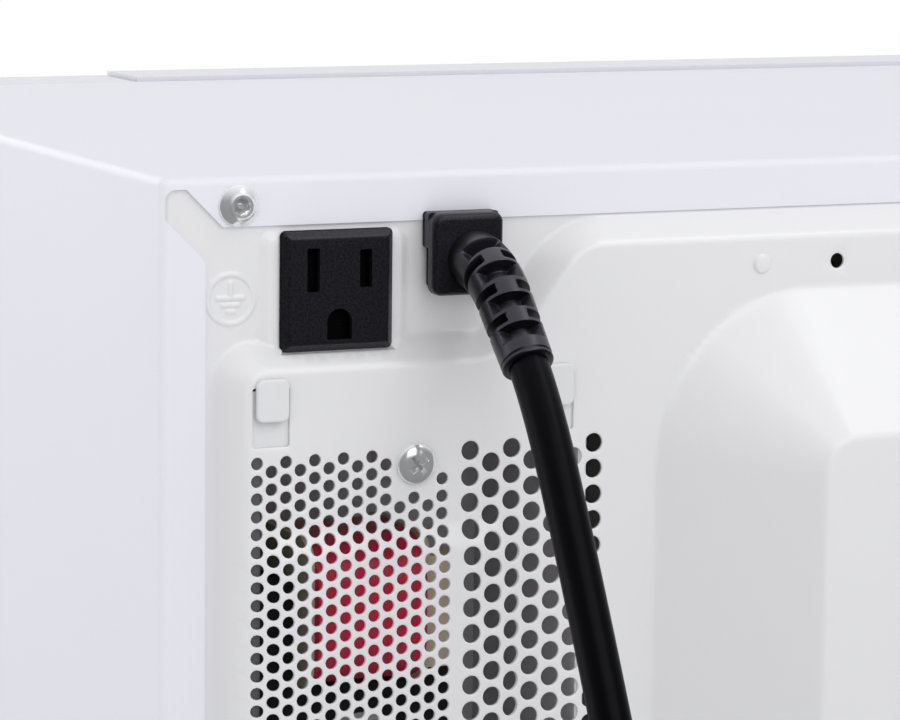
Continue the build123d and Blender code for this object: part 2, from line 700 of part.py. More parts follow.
def door_frame():
    """Moulded door body, open to the rear, with hinge blocks, posts, latch guides and a spring ledge."""
    block = span_box(DOOR_X0, DOOR_X1, FRONT_Y, DOOR_Y1, DOOR_Z0, DOOR_Z1)
    block = fillet(edges_at(block, y=FRONT_Y), FRONT_R)
    block = corner_round(block)
    wall = DOOR_WALL
    frame = block - span_box(DOOR_X0 + wall, DOOR_X1 - wall, FACE_IN_Y, DOOR_Y1 + 1, DOOR_Z0 + wall, DOOR_Z1 - wall)
    reach = HINGE_ARM_HALF + 2
    top_block = span_box(DOOR_X0, HINGE_X + reach, HINGE_Y - reach, DOOR_Y1, HINGE_TOP_Z - 12, DOOR_Z1)
    low_block = span_box(DOOR_X0, HINGE_X + reach, HINGE_Y - reach, DOOR_Y1, DOOR_Z0, HINGE_LOW_Z + 14)
    frame += (top_block + low_block) & block
    gap = HINGE_SLOT
    for z in (HINGE_LOW_Z, HINGE_TOP_Z):
        frame -= span_box(DOOR_X0 - 1, HINGE_X + reach - 0.5, HINGE_Y - reach + 0.5, DOOR_Y1 + 1,
                          z - gap, z + HINGE_ARM_T + gap)
    bore = HINGE_PIN_R + HINGE_BORE
    frame -= rod_z(HINGE_X, HINGE_Y, HINGE_TOP_Z - HINGE_PIN_LONG - LOOSE, HINGE_TOP_Z, bore)
    low_pin = HINGE_LOW_Z + HINGE_ARM_T
    frame -= rod_z(HINGE_X, HINGE_Y, low_pin, low_pin + HINGE_PIN_LONG + LOOSE, bore)
    lap = WINDOW_LAP + FIT
    frame -= span_box(WIN_X0, WIN_X1, FRONT_Y - 1, FACE_IN_Y + 1, WIN_Z0, WIN_Z1)
    frame -= span_box(WIN_X0 - lap, WIN_X1 + lap, FRONT_Y - 1, FRONT_Y + WINDOW_T, WIN_Z0 - lap, WIN_Z1 + lap)
    for x in (DOOR_X0 + 30, DOOR_X1 - 30):
        for z in (DOOR_Z0 + 20, DOOR_Z1 - 18):
            frame += rod_y(x, z, FACE_IN_Y - 0.5, LINER_Y - SHEET, POST_R)
    for z in LATCH_GUIDES_Z:
        frame += latch_guide(z)
    frame += span_box(LATCH_X - 7, LATCH_X + 7, FACE_IN_Y - 0.5, LATCH_BAR_Y + LATCH_BAR_T + 2,
                      SPRING_TOP_Z, SPRING_TOP_Z + 3)
    return frame


def latch_guide(z):
    """Bridge that the latch bar slides through."""
    gap = LATCH_BAR_HALF + LOOSE
    guide = span_box(LATCH_X - gap - 3, LATCH_X + gap + 3, FACE_IN_Y - 0.5, LATCH_BAR_Y + LATCH_BAR_T + 2.3, z, z + 6)
    return guide - span_box(LATCH_X - gap, LATCH_X + gap, LATCH_BAR_Y - LOOSE, LATCH_BAR_Y + LATCH_BAR_T + LOOSE,
                            z - 1, z + 7)


def door_window():
    lap = WINDOW_LAP
    pane = span_box(WIN_X0 - lap, WIN_X1 + lap, FRONT_Y, FRONT_Y + WINDOW_T, WIN_Z0 - lap, WIN_Z1 + lap)
    return fillet(pane.edges().filter_by(Axis.Y), 1.0)


def liner_limits(inset):
    """Left, right, bottom and top of the sheet parts behind the door body."""
    left = HINGE_X + HINGE_ARM_HALF + 2 + LOOSE + inset
    right = DOOR_X1 - DOOR_WALL - LOOSE - inset
    return left, right, DOOR_Z0 + DOOR_WALL + LOOSE + inset, DOOR_Z1 - DOOR_WALL - LOOSE - inset


def door_inner_frame():
    """Steel plate behind the door body that carries the screen and the latch slots."""
    left, right, bottom, top = liner_limits(2.0)
    plate = span_box(left, right, LINER_Y - SHEET, LINER_Y, bottom, top)
    plate -= span_box(WIN_X0, WIN_X1, LINER_Y - 2, LINER_Y + 1, WIN_Z0, WIN_Z1)
    return plate - hook_slots(LINER_Y - 2, LINER_Y + 1, HOOK_HALF + 1.2, 0.6, LATCH_TRAVEL)


def door_screen():
    lap = WINDOW_LAP - 3
    front = LINER_Y - SHEET - 0.5
    return span_box(WIN_X0 - lap, WIN_X1 + lap, front, front + 0.5, WIN_Z0 - lap, WIN_Z1 + lap)


def door_inner_window():
    lap = 2.0
    return span_box(WIN_X0 - lap, WIN_X1 + lap, LINER_Y, LINER_Y + 1.5, WIN_Z0 - lap, WIN_Z1 + lap)


def choke_cover():
    """Moulded ring that closes the rear of the door round the inner window."""
    left, right, bottom, top = liner_limits(0)
    rear = DOOR_Y1 - COVER_REAR_GAP
    ring = span_box(left, right, LINER_Y, rear, bottom, top)
    ring -= span_box(left + 2.5, right - 12, LINER_Y - 1, rear - 2, bottom + 2.5, top - 2.5)
    ring -= span_box(WIN_X0 + 5, WIN_X1 - 5, rear - 3, rear + 1, WIN_Z0 + 5, WIN_Z1 - 5)
    return ring - hook_slots(LINER_Y - 1, rear + 1, HOOK_HALF + 1.2, 0.6, LATCH_TRAVEL)


def latch_hook(z):
    """Hook that reaches through the front plate, with its nose turned down."""
    rear = WRAP_Y + HOOK_REACH
    y0 = LATCH_BAR_Y + LATCH_BAR_T - 1
    shank = span_box(HOOK_X - HOOK_HALF, HOOK_X + HOOK_HALF, y0, rear, z, z + HOOK_H)
    nose = span_box(HOOK_X - HOOK_HALF, HOOK_X + HOOK_HALF, rear - HOOK_NOSE_LONG, rear, z - HOOK_NOSE, z + 1)
    hook = shank + nose
    slope = edges_at(hook, y=rear, z=z + HOOK_H)
    return chamfer(slope, 3.0)


def latch_bar():
    """Upright bar in the door that carries both hooks."""
    top = HOOK_Z[1] + HOOK_H + 10
    bar = span_box(LATCH_X - LATCH_BAR_HALF, LATCH_X + LATCH_BAR_HALF, LATCH_BAR_Y, LATCH_BAR_Y + LATCH_BAR_T,
                   LATCH_BAR_Z0, top)
    for z in HOOK_Z:
        bar += latch_hook(z)
    return bar


def latch_spring():
    """Compression spring above the latch bar, as its outer form."""
    y = LATCH_BAR_Y + LATCH_BAR_T / 2
    return rod_z(LATCH_X, y, HOOK_Z[1] + HOOK_H + 10.2, SPRING_TOP_Z - 0.2, 2.75)


def hinge(arm_z, pin_z0, pin_z1, plate_z0, plate_z1):
    """Hinge arm with its pin and the plate that fixes it behind the front frame."""
    half = HINGE_ARM_HALF
    arm = span_box(HINGE_X - half, HINGE_X + half, HINGE_Y, PLATE_Y + 2, arm_z, arm_z + HINGE_ARM_T)
    arm += rod_z(HINGE_X, HINGE_Y, arm_z, arm_z + HINGE_ARM_T, half)
    arm += rod_z(HINGE_X, HINGE_Y, pin_z0, pin_z1, HINGE_PIN_R)
    return arm + span_box(HINGE_X - half - 0.5, HINGE_X + half + 5.5, PLATE_Y, PLATE_Y + 2, plate_z0, plate_z1)


def hinge_upper():
    z = HINGE_TOP_Z
    return hinge(z, z - HINGE_PIN_LONG, z + 1, z - 16, z + HINGE_ARM_T)


def hinge_lower():
    z = HINGE_LOW_Z
    return hinge(z, z + 1, z + HINGE_ARM_T + HINGE_PIN_LONG, z, z + 18)


# Control side

def control_panel():
    """Moulded control panel, open to the rear, with board posts."""
    panel = span_box(CP_X0, CP_X1, FRONT_Y, PLATE_Y - SHEET, DOOR_BOTTOM, WRAP_TOP)
    panel = fillet(edges_at(panel, y=FRONT_Y), FRONT_R)
    wall = PANEL_WALL
    panel -= span_box(CP_X0 + wall, CP_X1 - wall, CP_FRONT_IN, PLATE_Y, DOOR_BOTTOM + wall, WRAP_TOP - wall)
    panel -= lens_box(FIT, FRONT_Y - 1, FRONT_Y + LENS_T)
    panel -= lens_box(-1.5, FRONT_Y, CP_FRONT_IN + 1)
    panel -= keypad_box(FIT, FRONT_Y - 1, FRONT_Y + PAD_T)
    panel -= button_box(LOOSE, FRONT_Y - 1, CP_FRONT_IN + 1)
    for x in (CP_X0 + 8, CP_X1 - 9):
        for z in (PAD_Z0 + 20, WRAP_TOP - 14):
            panel += rod_y(x, z, CP_FRONT_IN - 0.5, BOARD_Y, 3.0)
    return panel


def keypad_box(grow, y0, y1):
    return span_box(CP_X0 + PAD_SIDE - grow, CP_X1 - PAD_SIDE + grow, y0, y1, PAD_Z0 - grow, PAD_Z1 + grow)


def lens_box(grow, y0, y1):
    return span_box(CP_X0 + LENS_SIDE - grow, CP_X1 - LENS_SIDE + grow, y0, y1, LENS_Z0 - grow, LENS_Z1 + grow)


def button_box(grow, y0, y1):
    return span_box(CP_X0 + BUTTON_SIDE - grow, CP_X1 - BUTTON_SIDE + grow, y0, y1,
                    BUTTON_Z0 - grow, BUTTON_Z1 + grow)


def keypad_overlay():
    return keypad_box(0, FRONT_Y, FRONT_Y + PAD_T)


def display_lens():
    return lens_box(0, FRONT_Y, FRONT_Y + LENS_T)


def control_board():
    """Circuit board on the panel's posts, with its display block, relays and transformer."""
    top = WRAP_TOP - 8
    board = span_box(CP_X0 + 4, CP_X1 - 5, BOARD_Y, BOARD_Y + BOARD_T, PAD_Z0 + 15, top)
    board += span_box(CP_X0 + 20, CP_X1 - 20, CP_FRONT_IN + LOOSE, BOARD_Y, LENS_Z0 + 5, LENS_Z1 - 4)
    rear = BOARD_Y + BOARD_T
    board += span_box(CP_X0 + 15, CP_X0 + 45, rear, rear + 14, 105, 130)
    for z in (150, 175):
        board += span_box(CP_X0 + 55, CP_X0 + 74, rear, rear + 12, z, z + 15)
    return board


def stem_x():
    """Left and right of the button's stem and of the lever arm that it pushes."""
    left = CP_X0 + BUTTON_SIDE + 0.5
    return left, left + 4


def stem_box(y0, y1, grow):
    left, right = stem_x()
    top = LEVER_Z - LEVER_DROP
    return span_box(left - grow, right + grow, y0, y1, top - 4 - grow, top + grow)


def door_button():
    """Push button with a stop lip behind the panel, a spring seat and a stem for the lever."""
    rear = FRONT_Y + BUTTON_DEEP
    button = fillet(edges_at(button_box(0, FRONT_Y, rear), y=FRONT_Y), 1.0)
    lip_y = CP_FRONT_IN + LOOSE
    button += button_box(1.8, lip_y, lip_y + 1.5)
    button -= button_box(-2.2, FRONT_Y + 2.5, rear + 1)
    x, z = button_middle()
    button += rod_y(x, z, FRONT_Y + 2, rear, 6)
    left, right = stem_x()
    top = LEVER_Z - LEVER_DROP
    button += span_box(left - 0.5, right, FRONT_Y + 2, rear, top - 4, top)
    return button + stem_box(rear - 1, LEVER_Y - LEVER_R - LOOSE, 0)


def button_middle():
    return (CP_X0 + CP_X1) / 2, (BUTTON_Z0 + BUTTON_Z1) / 2


def button_spring():
    """Return spring behind the button, as its outer form."""
    x, z = button_middle()
    return rod_y(x, z, FRONT_Y + BUTTON_DEEP + 0.2, PLATE_Y - SHEET - 0.2, 4)


def release_lever():
    """Rocking lever: the stem pushes its lower arm and its hooked arm lifts the latch bar."""
    left, right = stem_x()
    arm_left, arm_right = HOOK_X - HOOK_HALF, HOOK_X + HOOK_HALF
    lever = rod_x(LEVER_Y, LEVER_Z, arm_left, right, LEVER_R)
    lever += span_box(left, right, LEVER_Y - LEVER_R, LEVER_Y + LEVER_R, LEVER_Z - LEVER_DROP - 4, LEVER_Z)
    tip_y = LEVER_Y + LEVER_REACH
    tip_z = HOOK_Z[0] - HOOK_NOSE - LATCH_TRAVEL - LOOSE
    lever += span_box(arm_left, arm_right, LEVER_Y, tip_y, LEVER_Z - LEVER_R, LEVER_Z + LEVER_R)
    return lever + span_box(arm_left, arm_right, tip_y - LEVER_TIP, tip_y, LEVER_Z, tip_z)


def interlock_bracket():
    """Moulded bracket behind the front frame with both strikes and the lever's bore."""
    spine_x = LATCH_X + 4
    top = HOOK_Z[1] + HOOK_H + 10
    bracket = span_box(spine_x, spine_x + 4, WRAP_Y, WRAP_Y + 20.7, LEVER_Z - 8, top)
    bracket += span_box(spine_x, spine_x + 9, WRAP_Y, WRAP_Y + 1.7, LEVER_Z - 8, top)
    for z in HOOK_Z:
        strike_top = z - HOOK_NOSE - LOOSE
        front = WRAP_Y + HOOK_REACH - HOOK_NOSE_LONG - 1.5 - STRIKE_LONG
        bracket += span_box(CAV_OUT_X + 3.7, spine_x + 1, front, front + STRIKE_LONG, strike_top - STRIKE_T, strike_top)
    bracket += rod_x(LEVER_Y, LEVER_Z, spine_x, spine_x + 12, LEVER_R + 2)
    return bracket - rod_x(LEVER_Y, LEVER_Z, spine_x - 1, spine_x + 13, LEVER_R + SHAFT_FIT)


def interlock_switch(z):
    """Snap switch with three tabs."""
    x = LATCH_X + 8
    y = WRAP_Y + 3.7
    body = span_box(x, x + 6.5, y, y + 16, z, z + 28)
    for place in (4, 13, 24):
        body += span_box(x + 3, x + 3.8, y + 15, y + 23, z + place - 2.4, z + place + 2.4)
    return body


def interlock_switches():
    return Part() + [interlock_switch(z) for z in (HOOK_Z[0] - 2, HOOK_Z[0] + 30, HOOK_Z[1] - 26)]


# High voltage

def transformer_core():
    """Laminated core with two windows, on its foot plate."""
    x, y = COMPARTMENT_X, TRANSFORMER_Y
    z0 = FLOOR_Z + CORE_FLANGE
    half = CORE_WIDE / 2
    leg = CORE_WIDE / 6
    core = span_box(x - half, x + half, y - CORE_STACK / 2, y + CORE_STACK / 2, z0, z0 + CORE_TALL)
    for side in (-1, 1):
        middle = x + side * 1.5 * leg
        core -= span_box(middle - leg / 2, middle + leg / 2, y - CORE_STACK, y + CORE_STACK, z0 + leg, z0 + CORE_TALL - leg)
    return core + span_box(x - half - 6, x + half + 6, y - CORE_STACK / 2 + 4, y + CORE_STACK / 2 - 4, FLOOR_Z, z0)


def winding(z0, z1):
    """One winding round the core's middle leg."""
    x, y = COMPARTMENT_X, TRANSFORMER_Y
    leg = CORE_WIDE / 6
    inner = leg + LOOSE
    outer = 2 * leg - LOOSE
    deep = CORE_STACK / 2
    ring = span_box(x - outer, x + outer, y - deep - 12, y + deep + 12, z0, z1)
    ring = fillet(ring.edges().filter_by(Axis.Z), 5.0)
    return ring - span_box(x - inner, x + inner, y - deep - LOOSE, y + deep + LOOSE, z0 - 1, z1 + 1)


def transformer_windings():
    z0 = FLOOR_Z + CORE_FLANGE + CORE_WIDE / 6 + LOOSE
    z1 = z0 + CORE_TALL - CORE_WIDE / 3 - 2 * LOOSE
    split = z0 + (z1 - z0) * 0.4
    return winding(z0, split - 1) + winding(split + 1, z1)


def oval(long, wide, z0, z1):
    """Upright can of oval section at the capacitor's place."""
    return Pos(COMPARTMENT_X + 14, CAPACITOR_Y, z0) * extrude(SlotOverall(long, wide), amount=z1 - z0)


def capacitor():
    """Oval capacitor can with its rolled top and two terminals."""
    can = oval(CAP_LONG, CAP_WIDE, FLOOR_Z, FLOOR_Z + CAP_TALL)
    can += oval(CAP_LONG - 6, CAP_WIDE - 6, FLOOR_Z + CAP_TALL - 1, FLOOR_Z + CAP_TALL + 2)
    for side in (-1, 1):
        can += rod_z(COMPARTMENT_X + 14 + side * 10, CAPACITOR_Y, FLOOR_Z + CAP_TALL, FLOOR_Z + CAP_TALL + 6, 2.5)
    return can


def capacitor_clamp():
    """Band round the foot of the capacitor with two ears on the base."""
    x = COMPARTMENT_X + 14
    half = CAP_LONG / 2
    band = oval(CAP_LONG + 2.4, CAP_WIDE + 2.4, FLOOR_Z, FLOOR_Z + 13)
    band += span_box(x - half - 12, x + half + 12, CAPACITOR_Y - 6, CAPACITOR_Y + 6, FLOOR_Z, FLOOR_Z + 1)
    band -= oval(CAP_LONG + 0.4, CAP_WIDE + 0.4, FLOOR_Z - 1, FLOOR_Z + 14)
    for side in (-1, 1):
        band -= rod_z(x + side * (half + 8), CAPACITOR_Y, FLOOR_Z - 1, FLOOR_Z + 2, 1.8)
    return band


def hv_diode():
    """Diode with its leads, lying on the capacitor's terminals."""
    x = COMPARTMENT_X + 14
    z = FLOOR_Z + CAP_TALL + 6 + 3.2
    return rod_x(CAPACITOR_Y, z, x - 12, x + 12, 3.0) + rod_x(CAPACITOR_Y, z, x - 20, x + 20, 0.7)


def waveguide():
    """Duct on the cavity's side wall, open to the cavity, with the antenna's hole at the top."""
    x1 = CAV_OUT_X + GUIDE_DEEP
    guide = span_box(CAV_OUT_X, x1, GUIDE_Y0, GUIDE_Y1, GUIDE_Z0, GUIDE_Z1)
    guide += span_box(CAV_OUT_X, CAV_OUT_X + SHEET, GUIDE_Y0 - 5, GUIDE_Y1 + 5, GUIDE_Z0 - 5, GUIDE_Z1)
    guide -= span_box(CAV_OUT_X - 1, x1 - SHEET, GUIDE_Y0 + SHEET, GUIDE_Y1 - SHEET, GUIDE_Z0 + SHEET, GUIDE_Z1 - SHEET)
    return guide - rod_x(MAG_Y, MAG_Z, x1 - 2, x1 + 1, ANTENNA_R + 1.5)


def magnetron_yoke():
    """Steel box frame, open to the airflow, with the filter box on its back."""
    x0 = CAV_OUT_X + GUIDE_DEEP + MAG_GAP
    x1 = x0 + MAG_DEEP
    yoke = span_box(x0, x1, GUIDE_Y0, GUIDE_Y1, MAG_Z0, MAG_Z0 + MAG_TALL)
    yoke -= span_box(x0 + 1.6, x1 - 1.6, GUIDE_Y0 - 1, GUIDE_Y1 + 1, MAG_Z0 + 1.6, MAG_Z0 + MAG_TALL - 1.6)
    yoke += span_box(x1, x1 + 20, MAG_Y - 28, MAG_Y + 28, MAG_Z - 26, MAG_Z + 26)
    return yoke - span_box(x1 + 1, x1 + 19, MAG_Y - 27, MAG_Y + 27, MAG_Z - 25, MAG_Z + 25)


def magnetron_fins():
    """Anode tube with its cooling fins."""
    x0 = CAV_OUT_X + GUIDE_DEEP + MAG_GAP + 1.6
    x1 = x0 + MAG_DEEP - 3.2
    fins = rod_x(MAG_Y, MAG_Z, x0, x1, TUBE_R)
    step = (x1 - x0 - 6) / (FIN_COUNT - 1)
    for index in range(FIN_COUNT):
        x = x0 + 3 + index * step
        fins += span_box(x - 0.4, x + 0.4, GUIDE_Y0 + 6, GUIDE_Y1 - 6, MAG_Z0 + 2, MAG_Z0 + MAG_TALL - 2)
    return fins


def magnetron_antenna():
    """Antenna on its gasket ring, reaching into the waveguide."""
    x1 = CAV_OUT_X + GUIDE_DEEP
    dome = fillet(edges_at(rod_x(MAG_Y, MAG_Z, x1 - 22, x1 + 0.5, ANTENNA_R), x=x1 - 22), 4.0)
    return dome + rod_x(MAG_Y, MAG_Z, x1, x1 + MAG_GAP, TUBE_R - 4)


def mica_cover():
    return span_box(CAV_X1 - MICA_T, CAV_X1, -22, 42, 98, 152)


# Air

def fan_duct():
    """Moulded duct behind the rear vents, with the fan's collar, motor posts and two rear clips."""
    rear = PLATEAU_W - SHEET
    front = rear - DUCT_LONG
    wall = DUCT_WALL
    duct = rear_box(DUCT_U0, DUCT_U1, DUCT_V0, DUCT_V1, front, rear)
    duct -= rear_box(DUCT_U0 + wall, DUCT_U1 - wall, DUCT_V0 + wall, DUCT_V1 - wall, front + wall, rear + 1)
    duct += rear_rod(FAN_U, FAN_V, front, front + wall + FAN_DEEP + 2, FAN_R + FAN_COLLAR + 1.5)
    duct -= rear_rod(FAN_U, FAN_V, front - 1, front + wall + FAN_DEEP + 3, FAN_R + FAN_COLLAR)
    duct &= rear_box(DUCT_U0, DUCT_U1, DUCT_V0, DUCT_V1, front - 1, rear)
    for side in (-1, 1):
        duct += rear_rod(MOTOR_U + side * 21, COIL_V, front + 0.5, MOTOR_BACK_W - MOTOR_STACK, 4)
    duct += rear_rod(DUCT_SCREW_U, DUCT_SCREW_V, rear - 14, rear, 4.5)
    duct += rear_box(DUCT_SCREW_U - 1, DUCT_SCREW_U + 1, DUCT_V0 + 1, DUCT_SCREW_V, rear - 14, rear)
    duct -= rear_rod(DUCT_SCREW_U, DUCT_SCREW_V, rear - 11, rear + 1, SCREW_R + 0.02)
    for u in CLIP_U:
        duct += duct_clip(u)
    for u in BOARD_POST_U:
        for w in BOARD_POST_W:
            x = SIDE_X - u
            duct += rod_z(x, REAR_Y + w, WRAP_TOP - DUCT_V0 - 1, WRAP_TOP - BOARD_V, 3)
    return duct


def duct_clip(u):
    """Tab that hooks up over the rear panel's outside, on a plate that closes its slot."""
    half = CLIP_WIDE / 2
    face = PLATEAU_W + 0.1
    tab = rear_box(u - half, u + half, CLIP_V0, CLIP_V1, face, face + CLIP_TAB)
    tab = fillet(tab.edges().filter_by(Axis.Y), 1.6)
    tab = fillet(edges_at(tab, y=REAR_Y + face + CLIP_TAB), 0.6)
    neck = rear_box(u - half + 0.4, u + half - 0.4, CLIP_NECK_V0, CLIP_V1 - 0.8, PLATEAU_W - 5, face + 0.2)
    under = PLATEAU_W - SHEET - 0.1
    root = rear_box(u - 4.2, u + 5.0, DUCT_V0, CLIP_SLOT_V1 + 1, under - 3, under)
    root -= rear_box(u - 5, u - 3.5, 50.6, 51.7, under - 4, under + 1)
    return tab + neck + root


def motor_leg_z():
    z = WRAP_TOP - COIL_V
    return z - MOTOR_LEG / 2, z + MOTOR_LEG / 2


def coil_span():
    """Left and right ends of the red coil."""
    x = SIDE_X - MOTOR_U
    return x - COIL_LONG / 2 - 0.5, x + COIL_LONG / 2 + 0.5


def fan_motor_core():
    """Laminated motor core: rotor bore below, coil leg above, and a bearing bridge on each face."""
    back = REAR_Y + MOTOR_BACK_W
    front = back - MOTOR_STACK
    x = SIDE_X - MOTOR_U
    leg0, leg1 = motor_leg_z()
    z = WRAP_TOP - FAN_V
    bore_x = SIDE_X - FAN_U
    half = MOTOR_WIDE / 2
    core = span_box(x - half, x + half, front, back, z - 20, leg1)
    x0, x1 = coil_span()
    core -= span_box(x0 - BOBBIN_T - 0.2, x1 + BOBBIN_T + 0.2, front - 1, back + 1, leg0 - COIL_OUT / 2 + MOTOR_LEG / 2 - 1, leg0)
    core -= rod_y(bore_x, z, front - 1, back + 1, ROTOR_R + LOOSE)
    for y0 in (front - 3, back):
        core += span_box(bore_x - 19, bore_x + 19, y0, y0 + 3, z - 5, z + 5)
        core += rod_y(bore_x, z, y0, y0 + 3, 7)
    return core - rod_y(bore_x, z, front - 4, back + 4, SHAFT_R + SHAFT_FIT)


def coil_ring(x0, x1, out, inner_gap, radius):
    """Rounded square ring round the core's coil leg."""
    back = REAR_Y + MOTOR_BACK_W
    y = back - MOTOR_STACK / 2
    z = WRAP_TOP - COIL_V
    ring = span_box(x0, x1, y - out / 2, y + out / 2, z - out / 2, z + out / 2)
    ring = fillet(ring.edges().filter_by(Axis.X), radius)
    deep = MOTOR_STACK / 2 + inner_gap
    tall = MOTOR_LEG / 2 + inner_gap
    return ring - span_box(x0 - 1, x1 + 1, y - deep, y + deep, z - tall, z + tall)


def fan_motor_coil():
    x0, x1 = coil_span()
    return coil_ring(x0 + 0.1, x1 - 0.1, COIL_OUT, 1.2, 9.0)


def coil_bobbin():
    """Moulded bobbin with a flange at each end of the coil and a terminal block on one side."""
    x0, x1 = coil_span()
    spool = coil_ring(x0 - BOBBIN_T, x0, COIL_OUT + 1, 0.2, 6.0)
    spool += coil_ring(x1, x1 + BOBBIN_T, COIL_OUT + 1, 0.2, 6.0)
    back = REAR_Y + MOTOR_BACK_W
    y = back - MOTOR_STACK / 2
    z = WRAP_TOP - COIL_V
    tube = span_box(x0 - 0.1, x1 + 0.1, y - MOTOR_STACK / 2 - 1.1, y + MOTOR_STACK / 2 + 1.1,
                    z - MOTOR_LEG / 2 - 1.1, z + MOTOR_LEG / 2 + 1.1)
    tube -= span_box(x0 - 1, x1 + 1, y - MOTOR_STACK / 2 - 0.2, y + MOTOR_STACK / 2 + 0.2,
                     z - MOTOR_LEG / 2 - 0.2, z + MOTOR_LEG / 2 + 0.2)
    block = span_box(x0 - 9, x0 - 0.2, back + 0.3, back + 8, z - 14, z + 12)
    return spool + tube + block


def fan_shaft():
    """Motor shaft with its rotor."""
    back = REAR_Y + MOTOR_BACK_W
    front = back - MOTOR_STACK
    x, z = SIDE_X - FAN_U, WRAP_TOP - FAN_V
    shaft = rod_y(x, z, FAN_Y0, back + 4.5, SHAFT_R)
    return shaft + rod_y(x, z, front + 0.5, back - 0.5, ROTOR_R)


def fan_blade():
    """Axial fan: a hub with twisted blades."""
    x, z = SIDE_X - FAN_U, WRAP_TOP - FAN_V
    middle = FAN_Y0 + FAN_DEEP / 2
    fan = rod_y(x, z, FAN_Y0, FAN_Y0 + FAN_DEEP, FAN_HUB_R)
    blade = Pos(FAN_R / 2 + 1, 0, 0) * Rot(35, 0, 0) * Box(FAN_R + 4, 17.0, 1.4)
    for index in range(FAN_BLADES):
        fan += Pos(x, middle, z) * Rot(0, 360 / FAN_BLADES * index, 0) * blade
    fan &= rod_y(x, z, FAN_Y0, FAN_Y0 + FAN_DEEP, FAN_R)
    return fan - rod_y(x, z, FAN_Y0 - 1, FAN_Y0 + FAN_DEEP + 1, SHAFT_R + 0.02)


# Turntable

def turntable_motor():
    """Flat geared motor under the cavity floor, with its fixing ears and terminals."""
    top = CAV_Z0 - SHEET
    bottom = top - TT_MOTOR_H
    body = rod_z(CAV_X, CAV_Y, bottom, top, TT_MOTOR_R)
    body += span_box(CAV_X - 34, CAV_X + 34, CAV_Y - 6, CAV_Y + 6, top - 1, top)
    body += span_box(CAV_X - 5, CAV_X + 5, CAV_Y + TT_MOTOR_R - 2, CAV_Y + TT_MOTOR_R + 7, bottom + 4, bottom + 9)
    return body - rod_z(CAV_X, CAV_Y, bottom + 5, top + 1, STEM_R + SHAFT_FIT)


def drive_coupler():
    """Stem with a three-armed head that turns the tray."""
    top = TRAY_Z0 - LOOSE
    arm_z0 = TRAY_Z0 - 8
    coupler = rod_z(CAV_X, CAV_Y, CAV_Z0 - SHEET - TT_MOTOR_H + 5.5, top, STEM_R)
    coupler += rod_z(CAV_X, CAV_Y, CAV_Z0 + 1, top, 6)
    for index in range(3):
        coupler += Pos(CAV_X, CAV_Y, 0) * Rot(0, 0, 120 * index) * span_box(0, 17, -4, 4, arm_z0, top)
    return coupler


def glass_tray():
    """Glass dish with a raised rim and three driving lugs under its middle."""
    z0 = TRAY_Z0
    outline = [
        (0, z0), (TRAY_FLAT_R, z0), (TRAY_R, z0 + TRAY_RISE - TRAY_T),
        (TRAY_R, z0 + TRAY_RISE), (TRAY_FLAT_R, z0 + TRAY_T + 1), (0, z0 + TRAY_T + 1),
    ]
    dish = revolve(Plane.XZ * Polygon(*outline, align=None), axis=Axis.Z)
    tray = Pos(CAV_X, CAV_Y, 0) * dish
    for index in range(3):
        lug = span_box(9, 15, -2.5, 2.5, z0 - 4, z0 + 1)
        tray += Pos(CAV_X, CAV_Y, 0) * Rot(0, 0, 60 + 120 * index) * lug
    return tray


def roller_frames():
    """Rotation about the tray's centre for each of the three rollers."""
    return [Pos(CAV_X, CAV_Y, ROLLER_Z) * Rot(0, 0, 90 + 120 * index) for index in range(3)]


def roller_ring():
    """Moulded ring with a pin for each roller."""
    ring = rod_z(CAV_X, CAV_Y, ROLLER_Z - RING_T / 2, ROLLER_Z + RING_T / 2, RING_R)
    ring -= rod_z(CAV_X, CAV_Y, ROLLER_Z - RING_T, ROLLER_Z + RING_T, RING_R - 6)
    for frame in roller_frames():
        ring += frame * rod_x(0, 0, RING_R - 2, ROLLER_TRACK + ROLLER_WIDE / 2 + 1.0, 1.5)
        ring += frame * rod_x(0, 0, ROLLER_TRACK + ROLLER_WIDE / 2 + LOOSE, ROLLER_TRACK + ROLLER_WIDE / 2 + 1.8, 2.6)
    return ring


def roller(index):
    wheel = rod_x(0, 0, ROLLER_TRACK - ROLLER_WIDE / 2, ROLLER_TRACK + ROLLER_WIDE / 2, ROLLER_R)
    wheel = fillet(wheel.edges().filter_by(GeomType.CIRCLE), 0.8)
    wheel -= rod_x(0, 0, 0, 2 * ROLLER_TRACK, 1.5 + SHAFT_FIT)
    return roller_frames()[index] * wheel


# Small electrics

def oven_lamp():
    """Lamp in its metal cup on the cavity's side wall."""
    lamp = span_box(CAV_OUT_X, CAV_OUT_X + 1, LAMP_Y - 12, LAMP_Y + 12, LAMP_Z - 12, LAMP_Z + 12)
    lamp += rod_x(LAMP_Y, LAMP_Z, CAV_OUT_X, CAV_OUT_X + 22, 9.5)
    for side in (-1, 1):
        lamp += span_box(CAV_OUT_X + 21, CAV_OUT_X + 29, LAMP_Y + 4 * side - 2.4, LAMP_Y + 4 * side + 2.4,
                         LAMP_Z - 0.4, LAMP_Z + 0.4)
    return lamp


